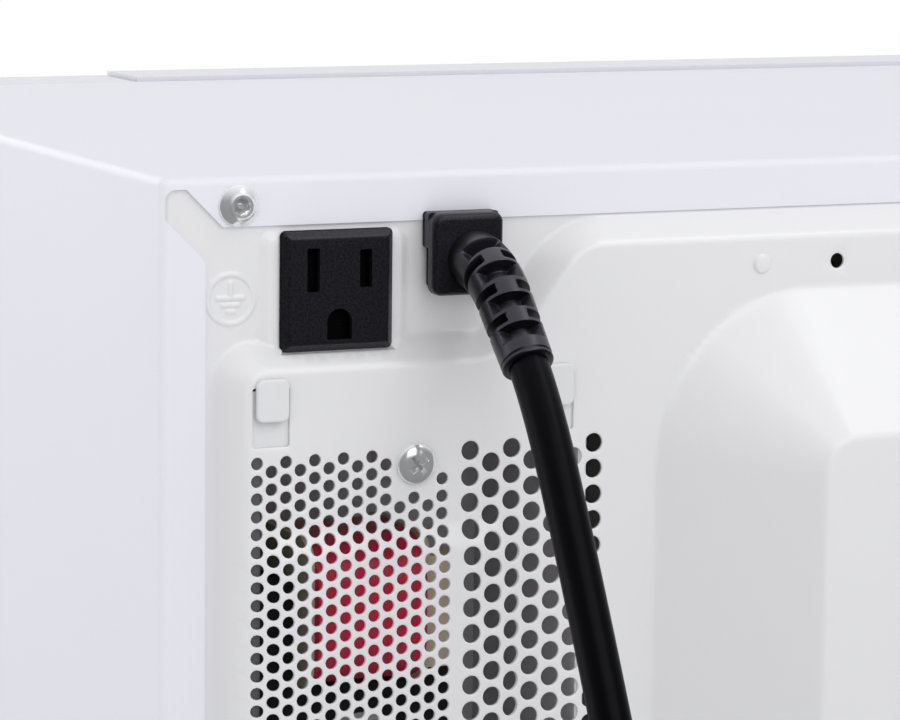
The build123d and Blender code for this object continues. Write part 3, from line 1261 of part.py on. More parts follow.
def filter_board():
    """Mains filter board on the duct's posts, with its fuse, choke and capacitor."""
    z = WRAP_TOP - BOARD_V
    x0, x1 = SIDE_X - BOARD_POST_U[1] - 5, SIDE_X - BOARD_POST_U[0] + 5
    y1 = REAR_Y + BOARD_POST_W[1] + 4
    board = span_box(x0, x1, y1 - 46, y1, z, z + BOARD_T)
    top = z + BOARD_T
    board += rod_z(x0 + 18, y1 - 20, top, top + 12, 11) - rod_z(x0 + 18, y1 - 20, top - 1, top + 13, 5)
    board += span_box(x0 + 34, x0 + 60, y1 - 18, y1 - 7, top, top + 15)
    board += rod_x(y1 - 30, top + 5, x0 + 36, x0 + 58, 3) + span_box(x0 + 36, x0 + 58, y1 - 33, y1 - 27, top, top + 5)
    return board


def cutout(x, y, z):
    """Disc thermostat with two tabs."""
    disc = rod_z(x, y, z, z + 7, 8)
    for side in (-1, 1):
        disc += span_box(x + 5 * side - 0.4, x + 5 * side + 0.4, y - 2.4, y + 2.4, z + 6.5, z + 14)
    return disc


def thermal_cutouts():
    return cutout(CAV_X1 - 45, 40, CAV_Z1 + SHEET) + cutout(CAV_OUT_X + GUIDE_DEEP + MAG_GAP + 22, MAG_Y, MAG_Z0 + MAG_TALL)


def outlet_block(wide, tall, w0, w1):
    return rear_box(OUTLET_U - wide / 2, OUTLET_U + wide / 2, OUTLET_V - tall / 2, OUTLET_V + tall / 2, w0, w1)


def outlet_slots(grow, amount):
    """Three openings of a grounded outlet, as faces on the outlet's front, pushed in."""
    left = Pos(-SLOT_GAP / 2, SLOT_RISE) * Rectangle(SLOT_T + grow, SLOT_LONG + grow)
    right = Pos(SLOT_GAP / 2, SLOT_RISE) * Rectangle(SLOT_T + grow, SLOT_SHORT + grow)
    dome = Pos(0, -EARTH_SLOT_DROP) * (Circle(EARTH_SLOT_R) + Pos(0, -2) * Rectangle(2 * EARTH_SLOT_R, 4))
    face = rear_plane(OUTLET_FACE_W) * Pos(OUTLET_U, -OUTLET_V) * (left + right + dome)
    return extrude(face, amount=-amount)


def accessory_outlet():
    """Snap-in grounded outlet with chamfered face and three openings."""
    body = outlet_block(OUTLET_WIDE, OUTLET_TALL, SEAT_W, OUTLET_FACE_W)
    body = chamfer(edges_at(body, y=REAR_Y + OUTLET_FACE_W), OUTLET_CHAMFER)
    body += outlet_block(OUTLET_WIDE - 2.4, OUTLET_TALL - 2.4, OUTLET_BACK_W, SEAT_W + 0.1)
    return body - outlet_slots(0, SLOT_DEEP)


def outlet_contacts():
    """Sprung contact strip along one side of each opening, with its tail at the back of the outlet."""
    strips = Part()
    w1 = OUTLET_FACE_W - 6
    w0 = OUTLET_FACE_W - SLOT_DEEP
    v = OUTLET_V - SLOT_RISE
    for side in (-1, 1):
        u = OUTLET_U + side * (SLOT_GAP / 2 + SLOT_T / 2 - 0.4)
        strips += rear_box(u - 0.4, u + 0.4, v - 3, v + 3, w0, w1)
    v = OUTLET_V + EARTH_SLOT_DROP + 3.6
    return strips + rear_box(OUTLET_U - 2.5, OUTLET_U + 2.5, v - 0.4, v + 0.4, w0, w1)


def cord_gland():
    """Clamp block that grips the cord: a thick front slab over a stepped neck and a body inside the panel."""
    slab_w = GLAND_FACE_W - GLAND_SLAB
    slab = rear_box(GLAND_U0, GLAND_U1, GLAND_V0, GLAND_V1, slab_w, GLAND_FACE_W)
    slab = fillet(slab.edges().filter_by(Axis.Y), 2.4)
    slab = chamfer(edges_at(slab, y=REAR_Y + GLAND_FACE_W), 1.0)
    middle_v = GLAND_V0 + 8.2
    neck = rear_box(GLAND_U0, GLAND_U1, GLAND_V0, middle_v, 0.3, slab_w + 0.1)
    neck += rear_box(GLAND_U0 + GLAND_NECK, GLAND_U1, middle_v - 1, GLAND_V1, 0.3, slab_w + 0.1)
    neck += rear_box(GLAND_U0 + GLAND_NECK, GLAND_U1, FLANGE_TOP + 0.5, GLAND_V1, RIM_W, 0.4)
    tight = GLAND_HOLE + FIT
    inside = rear_box(GLAND_U0 + tight, GLAND_U1 - tight, FLANGE_TOP + 0.5 + FIT, GLAND_V1 - tight,
                      GLAND_INSIDE_W, RIM_W + 0.1)
    return slab + neck + inside


# Cord

def boot_place(along):
    """Plane across the boot at a distance along it: a bend out of the clamp block, then straight."""
    start = radians(BOOT_START)
    bent = min(along, BOOT_BEND)
    a = start + bent / BOOT_ARC_R
    straight = along - bent
    y = REAR_Y + GLAND_FACE_W + BOOT_ARC_R * (sin(a) - sin(start)) + straight * cos(a)
    z = WRAP_TOP - BOOT_V + BOOT_ARC_R * (cos(a) - cos(start)) - straight * sin(a)
    return Plane(origin=(SIDE_X - BOOT_U, y, z), x_dir=(1, 0, 0), z_dir=(0, cos(a), -sin(a)))


def boot_piece(profile, start, end):
    """Length of the boot between two distances along it."""
    if start < BOOT_BEND < end:
        return boot_piece(profile, start, BOOT_BEND) + boot_piece(profile, BOOT_BEND, end)
    face = boot_place(start) * Rot(0, 0, BOOT_TURN) * profile
    if start >= BOOT_BEND:
        return extrude(face, amount=end - start)
    a = radians(BOOT_START)
    y = REAR_Y + GLAND_FACE_W - BOOT_ARC_R * sin(a)
    z = WRAP_TOP - BOOT_V - BOOT_ARC_R * cos(a)
    axis = Axis((SIDE_X - BOOT_U, y, z), (-1, 0, 0))
    return revolve(face, axis=axis, revolution_arc=(end - start) / BOOT_ARC_R * 180 / pi)


def cord_boot():
    """Moulded strain relief: slotted rings round a core, thick at the clamp block and slim at the cord."""
    boot = boot_piece(Circle(BOOT_CORE_R), -6, BOOT_LONG)
    boot += boot_piece(Circle(BOOT_ROOT_R), -6, BOOT_ROOT_LONG)
    place = BOOT_ROOT_LONG
    for band in range(4):
        full = Circle(BOOT_ROOT_R + (BOOT_END_R - BOOT_ROOT_R) * place / BOOT_LONG)
        boot += boot_piece(full - Rectangle(9.2, 20), place, place + BOOT_FRONT_GAP)
        place += BOOT_FRONT_GAP
        if band == 3:
            break
        boot += boot_piece(full, place, place + BOOT_RING)
        place += BOOT_RING
        boot += boot_piece(full & Rectangle(5.2, 20), place, place + BOOT_SIDE_GAP)
        place += BOOT_SIDE_GAP
        boot += boot_piece(full, place, place + BOOT_RING)
        place += BOOT_RING
    boot += boot_piece(Circle(BOOT_END_R), place, BOOT_LONG)
    face = REAR_Y + GLAND_FACE_W
    return boot - span_box(0, SIDE_X, face - 30, face, 0, WRAP_TOP + 50)


def boot_end():
    """Place and direction of the cord where it leaves the boot."""
    end = boot_place(BOOT_LONG)
    return end.origin, end.z_dir


# Points of the cord's free fall behind the oven, chosen by hand, from the boot to the coil on the worktop
BOOT_X = SIDE_X - BOOT_U
EXIT_RUN = 12.0
CORD_DROP = [
    (BOOT_X, REAR_Y + 66.9, 167.5),
    (BOOT_X - 0.3, REAR_Y + 83.2, 135.4),
    (BOOT_X - 2.3, REAR_Y + 97.5, 101.0),
    (BOOT_X - 7.3, REAR_Y + 111.5, 66.0),
    (BOOT_X - 19.3, REAR_Y + 125.5, 38.0),
    (BOOT_X - 44.3, REAR_Y + 137.5, 12.0),
    (BOOT_X - 81.3, REAR_Y + 142.5, COIL_Z),
    (BOOT_X - 114.3, REAR_Y + 142.5, COIL_Z),
]


def cord_points():
    start, along = boot_end()
    first = Vector(start) + Vector(along) * EXIT_RUN
    return [Vector(start), first] + [Vector(point) for point in CORD_DROP]


def bend_radii(points):
    """Radius at each inner point: 0.45 of the shorter run over the tangent of half the turn."""
    radii = []
    for before, point, after in zip(points, points[1:], points[2:]):
        run_in, run_out = point - before, after - point
        turn = radians(run_in.get_angle(run_out))
        radii.append(0.45 * min(run_in.length, run_out.length) / tan(turn / 2))
    return radii


def mains_cord():
    """Free length of the cord from the boot to the coil."""
    points = cord_points()
    radii = bend_radii(points)
    print("cord radii", [round(r, 1) for r in radii])
    path = FilletPolyline(*points, radius=radii)
    start = Plane(origin=points[0], z_dir=(points[1] - points[0]).normalized())
    tube = sweep(start * Circle(CORD_R), path=path)
    print("cord volume", round(tube.volume, 1), "section times length", round(pi * CORD_R ** 2 * path.length, 1))
    return tube


def coil_place(turn):
    """Point and heading of the put-away coil after a number of turns."""
    inward = COIL_TURNS / 2
    radius = COIL_R - COIL_PITCH * (turn if turn <= inward else 2 * inward - turn)
    slope = -COIL_PITCH if turn < inward else COIL_PITCH
    climb = min(max((turn - inward + 0.25) / 0.5, 0), 1)
    height = COIL_Z + COIL_LAYER * (1 - cos(pi * climb)) / 2
    rise = COIL_LAYER * pi * sin(pi * climb) if 0 < climb < 1 else 0
    angle = pi / 2 + 2 * pi * turn
    end = cord_points()[-1]
    centre = Vector(end.X - COIL_LEAD, end.Y - COIL_R, 0)
    point = centre + Vector(radius * cos(angle), radius * sin(angle), height)
    if turn in (0, inward, COIL_TURNS):
        slope = 0
    heading = Vector(slope * cos(angle) - 2 * pi * radius * sin(angle),
                     slope * sin(angle) + 2 * pi * radius * cos(angle), rise)
    return point, heading.normalized()


def biarc(start, t1, end, t2):
    """Two tangent arcs between two points with headings."""
    chord = end - start
    both = t1 + t2
    square = 2 * (1 - t1.dot(t2))
    reach = (sqrt(chord.dot(both) ** 2 + square * chord.dot(chord)) - chord.dot(both)) / square
    joint = (start + end + (t1 - t2) * reach) * 0.5
    first = Edge.make_tangent_arc(start, t1, joint)
    second = Edge.make_tangent_arc(joint, first % 1, end)
    return [first, second]


def coil_edges():
    """Straight lead, quarter-turn arcs round the coil, and the straight end for the plug."""
    point, heading = coil_place(0)
    edges = [Edge.make_line(point - heading * COIL_LEAD, point)]
    quarters = round(COIL_TURNS * 4)
    for index in range(quarters):
        here, h1 = coil_place(index / 4)
        there, h2 = coil_place((index + 1) / 4)
        edges += biarc(here, h1, there, h2)
    point, heading = coil_place(COIL_TURNS)
    edges.append(Edge.make_line(point, point + heading * COIL_EXIT))
    return edges


def least_gap(edges):
    """Least clear distance between stretches of the coil more than half a turn apart."""
    points = []
    along = 0.0
    for edge in edges:
        count = max(2, round(edge.length / 1.5))
        for step in range(count):
            points.append((along + edge.length * step / count, edge @ (step / count)))
        along += edge.length
    least = 1000.0
    for index, (s1, p1) in enumerate(points):
        for s2, p2 in points[index + 1:]:
            if s2 - s1 > 60:
                least = min(least, (p1 - p2).length)
    return least - 2 * CORD_R


def cord_coil():
    """Put-away length of the cord: loops that wind in, climb a layer and wind out again."""
    edges = coil_edges()
    print("coil length", round(sum(edge.length for edge in edges), 1))
    print("coil least gap to itself", round(least_gap(edges), 2))
    path = Wire(edges)
    start = Plane(origin=path @ 0, z_dir=path % 0)
    tube = sweep(start * Circle(CORD_R), path=path)
    print("coil volume", round(tube.volume, 1), "section times length", round(pi * CORD_R ** 2 * path.length, 1))
    return tube


def plug_start():
    """Where the cord enters the plug, which lies on its side."""
    point, heading = coil_place(COIL_TURNS)
    return point + heading * COIL_EXIT


def plug_body():
    """Moulded plug with a tapered relief, flattened grip and flange face."""
    start = plug_start()
    x0, y, z = start.X, start.Y, start.Z
    x1 = x0 + RELIEF_LONG
    nose = Plane(origin=(x0, y, z), x_dir=(0, 1, 0), z_dir=(1, 0, 0)) * Circle(6.0)
    collar = Plane(origin=(x1, y, z), x_dir=(0, 1, 0), z_dir=(1, 0, 0)) * Circle(8.5)
    body = loft([nose.face(), collar.face()], ruled=True)
    half = z - 0.05
    grip = span_box(x1 - 1, x1 + PLUG_LONG - 8, y - 12, y + 12, z - 11, z + 11)
    grip = fillet(grip.edges().filter_by(Axis.X), 6.0)
    flange = span_box(x1 + PLUG_LONG - 8, x1 + PLUG_LONG, y - 13, y + 15, z - half, z + half)
    return body + grip + fillet(flange.edges().filter_by(Axis.X), 7.0)


def plug_pins():
    """Two flat blades and a round earth pin."""
    start = plug_start()
    x0 = start.X + RELIEF_LONG + PLUG_LONG
    y, z = start.Y, start.Z
    pins = Part()
    for side in (-1, 1):
        middle = z + side * SLOT_GAP / 2
        pins += span_box(x0, x0 + BLADE_LONG, y - 7.2, y - 0.8, middle - 0.75, middle + 0.75)
    pins += rod_x(y + 7.9, z, x0, x0 + BLADE_LONG + 2.5, 2.4)
    return pins


# Places that follow from the sizes above
LAMP_Y = 70.0
LAMP_Z = CAV_Z1 - 27.0
SPRING_TOP_Z = HOOK_Z[1] + HOOK_H + 30
LATCH_GUIDES_Z = (90.0, 170.0)
BOARD_Y = FRONT_Y + 7.5
TRANSFORMER_Y = WRAP_Y + 69.7
CAPACITOR_Y = TRANSFORMER_Y + 65.0
GUIDE_Z1 = WRAP_TOP - GUIDE_TOP_GAP
MAG_Y = (GUIDE_Y0 + GUIDE_Y1) / 2
MAG_Z = MAG_Z0 + MAG_TALL / 2
FAN_Y0 = REAR_Y + PLATEAU_W - SHEET - DUCT_LONG + DUCT_WALL
BOARD_POST_U = (26.0, 94.0)
BOARD_POST_W = (-48.0, -34.0)
BOARD_V = 32.8
ROLLER_Z = CAV_Z0 + ROLLER_RUN / 2
TRAY_Z0 = CAV_Z0 + ROLLER_RUN
COIL_LEAD = 2 * CORD_R

PARTS = {
    "outer_wrap": outer_wrap,
    "back_panel": back_panel,
    "base_plate": base_plate,
    "feet": feet,
    "cavity_shell": cavity_shell,
    "front_plate": front_plate,
    "door_frame": door_frame,
    "door_window": door_window,
    "door_inner_frame": door_inner_frame,
    "door_screen": door_screen,
    "door_inner_window": door_inner_window,
    "choke_cover": choke_cover,
    "latch_bar": latch_bar,
    "latch_spring": latch_spring,
    "hinge_upper": hinge_upper,
    "hinge_lower": hinge_lower,
    "control_panel": control_panel,
    "keypad_overlay": keypad_overlay,
    "display_lens": display_lens,
    "control_board": control_board,
    "door_button": door_button,
    "button_spring": button_spring,
    "release_lever": release_lever,
    "interlock_bracket": interlock_bracket,
    "interlock_switches": interlock_switches,
    "transformer_core": transformer_core,
    "transformer_windings": transformer_windings,
    "capacitor": capacitor,
    "capacitor_clamp": capacitor_clamp,
    "hv_diode": hv_diode,
    "magnetron_yoke": magnetron_yoke,
    "magnetron_fins": magnetron_fins,
    "magnetron_antenna": magnetron_antenna,
    "waveguide": waveguide,
    "mica_cover": mica_cover,
    "fan_duct": fan_duct,
    "fan_motor_core": fan_motor_core,
    "fan_motor_coil": fan_motor_coil,
    "coil_bobbin": coil_bobbin,
    "fan_shaft": fan_shaft,
    "fan_blade": fan_blade,
    "turntable_motor": turntable_motor,
    "drive_coupler": drive_coupler,
    "glass_tray": glass_tray,
    "roller_ring": roller_ring,
    "roller_a": lambda: roller(0),
    "roller_b": lambda: roller(1),
    "roller_c": lambda: roller(2),
    "oven_lamp": oven_lamp,
    "filter_board": filter_board,
    "thermal_cutouts": thermal_cutouts,
    "accessory_outlet": accessory_outlet,
    "outlet_contacts": outlet_contacts,
    "cord_gland": cord_gland,
    "cord_boot": cord_boot,
    "mains_cord": mains_cord,
    "cord_coil": cord_coil,
    "plug_body": plug_body,
    "plug_pins": plug_pins,
    "screws": lambda: case_screws() + duct_screw(),
}

os.makedirs("parts", exist_ok=True)
for name, build in PARTS.items():
    export_step(build(), "parts/" + name + ".step")
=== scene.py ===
import json
from math import atan, cos, pi, radians, sin, sqrt, tan

import bpy
import numpy as np
from bpy.props import FloatProperty, FloatVectorProperty, PointerProperty
from mathutils import Matrix, Vector
from mathutils.geometry import delaunay_2d_cdt


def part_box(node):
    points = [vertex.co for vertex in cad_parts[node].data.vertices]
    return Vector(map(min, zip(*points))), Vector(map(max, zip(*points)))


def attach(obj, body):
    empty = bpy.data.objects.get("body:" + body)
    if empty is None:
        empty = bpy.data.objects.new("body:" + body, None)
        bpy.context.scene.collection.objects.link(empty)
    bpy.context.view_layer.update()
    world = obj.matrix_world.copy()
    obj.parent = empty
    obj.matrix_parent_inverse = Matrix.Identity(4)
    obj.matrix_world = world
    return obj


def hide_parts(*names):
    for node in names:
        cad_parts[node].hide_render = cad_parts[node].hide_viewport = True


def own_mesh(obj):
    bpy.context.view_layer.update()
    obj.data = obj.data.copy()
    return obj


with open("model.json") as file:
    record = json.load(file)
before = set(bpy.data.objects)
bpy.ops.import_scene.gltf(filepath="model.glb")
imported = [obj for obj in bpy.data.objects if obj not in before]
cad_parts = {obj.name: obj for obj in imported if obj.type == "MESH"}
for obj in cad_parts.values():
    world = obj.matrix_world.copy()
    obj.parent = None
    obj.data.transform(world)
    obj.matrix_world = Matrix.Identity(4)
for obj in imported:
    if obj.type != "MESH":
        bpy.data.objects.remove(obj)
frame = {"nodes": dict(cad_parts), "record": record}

bl_info = {
    "name": "Compact microwave oven",
    "version": (1, 0, 0),
    "blender": (4, 5, 0),
    "location": "3D View > Sidebar > Microwave",
    "description": "Surfaces, cord, finishes and studio of a compact microwave oven around its solid parts",
    "category": "Object",
}

MM = 0.001
WRAP_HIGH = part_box("outer_wrap")[1]
SIDE_X = WRAP_HIGH.x
REAR_Y = WRAP_HIGH.y
TOP_Z = WRAP_HIGH.z
WIDTH = 2 * SIDE_X
SHEET = 0.8 * MM

# Levels out from the rear flange
RIM_W = -0.8 * MM
SEAT_W = 0.57 * MM
PLATEAU_W = 6.5 * MM
CLAMP_FACE_W = 7.0 * MM

# Places on the rear, u from the control side and v down from the top. Limits are u0, u1, v0 and v1
PANEL = (0.9 * MM, WIDTH - 0.9 * MM, 0.9 * MM, TOP_Z - 10.8 * MM)
PANEL_CORNER = 2 * MM
OUTLET_U = 41.4 * MM
OUTLET_V = 26.1 * MM
SEAT = (25.4 * MM, 57.35 * MM, 14.1 * MM, 42.0 * MM)
POCKET = (OUTLET_U - 13.9 * MM, OUTLET_U + 13.9 * MM, 36.5 * MM, 40.1 * MM)
BULGE = (151.6 * MM, WIDTH - 58.6 * MM, 61.8 * MM, TOP_Z - 72.0 * MM)
VENT_PAD = (25.3 * MM, 79.7 * MM, 85.3 * MM, 178.0 * MM)
SMALL_VENT_U = 20.45 * MM
BIG_VENT_U = 72.4 * MM
VENT_TOP_V = 63.5 * MM
VENT_LOW_V = 172.0 * MM
MARK_U = 16.8 * MM
MARK_V = 27.4 * MM
DIMPLE_U = 146.6 * MM
DIMPLE_V = 23.85 * MM
HOLE_U = 166.8 * MM
CASE_SCREW_UV = (18.4 * MM, 6.6 * MM)
SIDE_SCREW_UV = (5.4 * MM, TOP_Z - 60.0 * MM)
DUCT_SCREW_UV = (58.8 * MM, 65.7 * MM)
SCREW_HOLE = 1.85 * MM
CLIP_U = (23.75 * MM, 93.9 * MM)
CLIP_V = (46.6 * MM, 60.0 * MM)
CLIP_HALF = 4.45 * MM
BOOT_U = 72.7 * MM
BOOT_V = 19.9 * MM
BOOT_LONG = 36.0 * MM


class OvenSizes(bpy.types.PropertyGroup):
    """Sizes of the surfaces that are made here."""

    vent_small: FloatProperty(name="Small vents", description="Diameter of the small vents",
                              default=2.9 * MM, unit="LENGTH", precision=4)
    vent_big: FloatProperty(name="Large vents", description="Diameter of the large vents",
                            default=4.5 * MM, unit="LENGTH", precision=4)
    plateau_lean: FloatProperty(name="Plateau wall", description="Lean of the plateau's wall from upright",
                                default=radians(39.0), subtype="ANGLE")
    bulge_rise: FloatProperty(name="Bulge", description="Height of the bulge over the plateau",
                              default=24.5 * MM, unit="LENGTH", precision=4)
    bulge_lean: FloatProperty(name="Bulge wall", description="Lean of the bulge's wall from upright",
                              default=radians(52.56), subtype="ANGLE")
    pad_rise: FloatProperty(name="Vent pad", description="Height of the vent pad over the plateau",
                            default=1.9 * MM, unit="LENGTH", precision=4)
    cord_radius: FloatProperty(name="Cord", description="Radius of the mains cord",
                               default=4.6 * MM, unit="LENGTH", precision=4)
    coil_radius: FloatProperty(name="Coil", description="Radius of the outer turn of the put-away cord",
                               default=53.0 * MM, unit="LENGTH", precision=4)


class OvenColours(bpy.types.PropertyGroup):
    """Colours of the main finishes."""

    enamel: FloatVectorProperty(name="Case paint", description="Gloss paint of the folded case",
                                default=(0.79, 0.79, 0.86), subtype="COLOR", min=0, max=1)
    panel: FloatVectorProperty(name="Panel paint", description="Gloss paint of the pressed rear panel",
                               default=(0.79, 0.79, 0.81), subtype="COLOR", min=0, max=1)
    moulding: FloatVectorProperty(name="White moulding", description="Door and control panel",
                                  default=(0.74, 0.74, 0.79), subtype="COLOR", min=0, max=1)
    black: FloatVectorProperty(name="Black moulding", description="Outlet and cord clamp",
                               default=(0.010, 0.0095, 0.013), subtype="COLOR", min=0, max=1)
    jacket: FloatVectorProperty(name="Cord jacket", description="Cord, strain relief and plug",
                                default=(0.0014, 0.0014, 0.0022), subtype="COLOR", min=0, max=1)
    winding: FloatVectorProperty(name="Motor winding", description="Enamelled wire of the fan motor",
                                 default=(0.8, 0.03, 0.09), subtype="COLOR", min=0, max=1)


class StudioLevels(bpy.types.PropertyGroup):
    """Light of the studio."""

    world: FloatProperty(name="Surroundings", description="Strength of the plain surroundings",
                         default=0.86, min=0)
    key: FloatProperty(name="Key light", description="Power of the small light over the rear",
                       default=5.0, min=0, unit="POWER")
    fill: FloatProperty(name="Fill light", description="Power of the wide light behind the rear",
                        default=15.0, min=0, unit="POWER")
    side: FloatProperty(name="Side light", description="Power of the light on the control side",
                        default=3.0, min=0, unit="POWER")
    front: FloatProperty(name="Front light", description="Power of the light on the door",
                         default=10.0, min=0, unit="POWER")


# Flat measures

def ramp(x):
    """Smooth step: 0 below 0, 1 above 1, with level ends."""
    x = np.clip(x, 0, 1)
    return x * x * (3 - 2 * x)


def soft_min(a, b, blend):
    """Lesser of two heights, with a parabola over the crossing that is blend wide on each side."""
    near = np.maximum(blend - np.abs(a - b), 0)
    return np.minimum(a, b) - near * near / (4 * blend)


def soft_max(a, b, blend):
    """Greater of two heights, blended in the same way."""
    return -soft_min(-a, -b, blend)


def inside_both(a, b, radius):
    """Distance to the overlap of two regions whose corner is an arc of the radius."""
    beyond = np.hypot(np.maximum(radius + a, 0), np.maximum(radius + b, 0))
    return np.minimum(-radius, np.maximum(a, b)) + beyond


def inside_either(a, b, radius):
    """Distance to the union of two regions whose inner corner is an arc of the radius."""
    return -inside_both(-a, -b, radius)


def from_rectangle(u, v, limits, radius):
    """Distance from a rectangle with round corners, negative within it. Limits are u0, u1, v0 and v1."""
    u0, u1, v0, v1 = limits
    du = np.abs(u - (u0 + u1) / 2) - (u1 - u0) / 2 + radius
    dv = np.abs(v - (v0 + v1) / 2) - (v1 - v0) / 2 + radius
    return np.hypot(np.maximum(du, 0), np.maximum(dv, 0)) + np.minimum(np.maximum(du, dv), 0) - radius


def pressed(distance, rise, spread, crest, foot):
    """Height of a pressed step: its full rise inside the outline and a straight wall over the spread outside.

    The wall meets the top in a curve of the crest radius and the ground in one of the foot radius.
    """
    steep = rise / spread
    half_turn = tan(atan(steep) / 2)
    wall = soft_max(rise * (1 - distance / spread), 0, foot * half_turn * steep)
    return soft_min(wall, rise, crest * half_turn * steep)


def lines(start, *runs):
    """Grid lines from a start and runs of (end, step), in millimetres."""
    made = [[start]]
    for end, step in runs:
        count = max(1, round((end - start) / step))
        made.append(np.linspace(start, end, count + 1)[1:])
        start = end
    return np.concatenate(made) * MM


def ring_of(u, v, radius, count, turn=0.0):
    """Points of a circle, clockwise as seen from outside, so that it can bound an opening."""
    angle = turn - np.arange(count) * 2 * pi / count
    return np.stack([u + radius * np.cos(angle), v - radius * np.sin(angle)], axis=1)


def round_rectangle(limits, radius, steps, clockwise=False):
    """Points of a rectangle with round corners, counter-clockwise as seen from outside."""
    u0, u1, v0, v1 = limits
    quarter = np.arange(4 * (steps + 1)) // (steps + 1)
    angle = quarter * pi / 2 + np.tile(np.linspace(0, pi / 2, steps + 1), 4)
    u = np.where((quarter == 0) | (quarter == 3), u1 - radius, u0 + radius) + radius * np.cos(angle)
    v = np.where(quarter < 2, v0 + radius, v1 - radius) - radius * np.sin(angle)
    points = np.stack([u, v], axis=1)
    return points[::-1] if clockwise else points


# Meshes

def at_rear(u, v, w):
    """Points in space from u, v and w, the height out from the rear flange."""
    u, v, w = np.broadcast_arrays(u, v, w)
    return np.stack([SIDE_X - u, REAR_Y + w, TOP_Z - v], axis=-1)


def quads(rows, columns):
    """Faces of a grid of rows and columns whose last column joins the first."""
    row, column = (a.ravel() for a in np.meshgrid(np.arange(rows - 1), np.arange(columns), indexing="ij"))
    after = (column + 1) % columns
    low, high = row * columns, (row + 1) * columns
    return np.stack([low + column, low + after, high + after, high + column], axis=1)


def tube_mesh(points):
    """Closed tube from rings of points, with both ends filled by a flat face."""
    rows, columns, _ = points.shape
    ring = np.arange(columns)
    faces = quads(rows, columns).tolist()
    faces.append(ring[::-1].tolist())
    faces.append(((rows - 1) * columns + ring).tolist())
    return points.reshape(-1, 3), faces


def hoop_mesh(points):
    """Closed hoop from rings of points: the last ring joins the first."""
    rows, columns, _ = points.shape
    faces = quads(rows + 1, columns) % (rows * columns)
    return points.reshape(-1, 3), faces.tolist()


def merged(*meshes):
    """One mesh from several, as points and faces."""
    points, faces, count = [], [], 0
    for some_points, some_faces in meshes:
        points.append(np.asarray(some_points).reshape(-1, 3))
        faces.extend([[i + count for i in face] for face in some_faces])
        count += len(points[-1])
    return np.concatenate(points), faces


def add_piece(name, mesh_data, body, slot, crease=35.0, replaces=()):
    """Makes a mesh a piece of the object, with its place, finish and body."""
    points, faces = mesh_data
    mesh = bpy.data.meshes.new(name)
    mesh.from_pydata(np.asarray(points).reshape(-1, 3).tolist(), [], faces)
    mesh.validate()
    mesh.polygons.foreach_set("use_smooth", np.ones(len(mesh.polygons), bool))
    mesh.set_sharp_from_angle(angle=radians(crease))
    piece = bpy.data.objects.new(name, mesh)
    bpy.context.scene.collection.objects.link(piece)
    mesh.materials.append(finish(slot))
    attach(piece, body)
    if replaces:
        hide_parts(*replaces)
    return piece


def triangulated(points, loops):
    """Delaunay triangles between the loops.

    A triangle with all three corners on the loop of one opening lies in the opening and is left out.
    """
    sides = [side for loop in loops for side in np.stack([loop, np.roll(loop, -1)], axis=1).tolist()]
    flat = [Vector((u, -v)) for u, v in (points / MM).tolist()]
    made = delaunay_2d_cdt(flat, sides, [], 0, 1e-6)
    if len(made[0]) != len(points):
        raise RuntimeError("two points of a flat outline fall together")
    faces = np.array(made[2])
    owner = np.full(len(points), -1)
    for number, loop in enumerate(loops[1:]):
        owner[loop] = number
    on = owner[faces]
    faces = faces[~((on[:, 0] >= 0) & (on[:, 0] == on[:, 1]) & (on[:, 1] == on[:, 2]))]
    a, b, c = (points[faces[:, i]] for i in range(3))
    area = (b[:, 0] - a[:, 0]) * (a[:, 1] - c[:, 1]) - (a[:, 1] - b[:, 1]) * (c[:, 0] - a[:, 0])
    faces[area < 0] = faces[area < 0][:, ::-1]
    return faces


def walls(loop, below):
    """Faces between a loop and the loop under it."""
    after = np.roll(loop, -1)
    return np.stack([loop, below, np.roll(below, -1), after], axis=1).tolist()


def punched(top, bottom, triangles, loops):
    """Closed sheet from its two skins, with a wall along every loop."""
    count = len(top)
    faces = triangles.tolist() + (triangles[:, ::-1] + count).tolist()
    for loop in loops:
        faces += walls(loop, loop + count)
    return np.concatenate([top, bottom]), faces


class Layout:
    """Flat points of a piece: its edge loops and free points, and how far each point is let down."""

    def __init__(self, outline):
        self.parts = []
        self.drops = []
        self.loops = []
        self.count = 0
        self.edge(outline)

    def free(self, points, drop=0.0):
        self.parts.append(points)
        self.drops.append(np.full(len(points), drop))
        self.count += len(points)

    def edge(self, points, drop=0.0):
        self.loops.append(self.count + np.arange(len(points)))
        self.free(points, drop)

    def points(self):
        return np.concatenate(self.parts)


def turned(place, profile, recess, segments):
    """Solid of revolution on the rear, from a profile of radii and heights in millimetres.

    Each point of the profile is a ring, and each end has a pole. The recess is a function of radius and
    angle that is taken off the height.
    """
    u, v, w = place
    radii, heights = np.array(profile).T * MM
    angle = np.arange(segments) * 2 * pi / segments
    r, a = np.meshgrid(radii, angle, indexing="ij")
    rings = at_rear(u + r * np.cos(a), v - r * np.sin(a), w + heights[:, None] - recess(r, a))
    ends = heights[[0, -1]] - [recess(0.0, 0.0), 0.0]
    points = np.concatenate([rings.reshape(-1, 3), at_rear(u, v, w + ends)])
    rows = len(radii)
    here = np.arange(segments)
    after = (here + 1) % segments
    low = (rows - 1) * segments
    first, last = np.full(segments, rows * segments), np.full(segments, rows * segments + 1)
    faces = quads(rows, segments)[:, ::-1].tolist() + np.stack([first, here, after], axis=1).tolist()
    return points, faces + np.stack([last, low + after, low + here], axis=1).tolist()


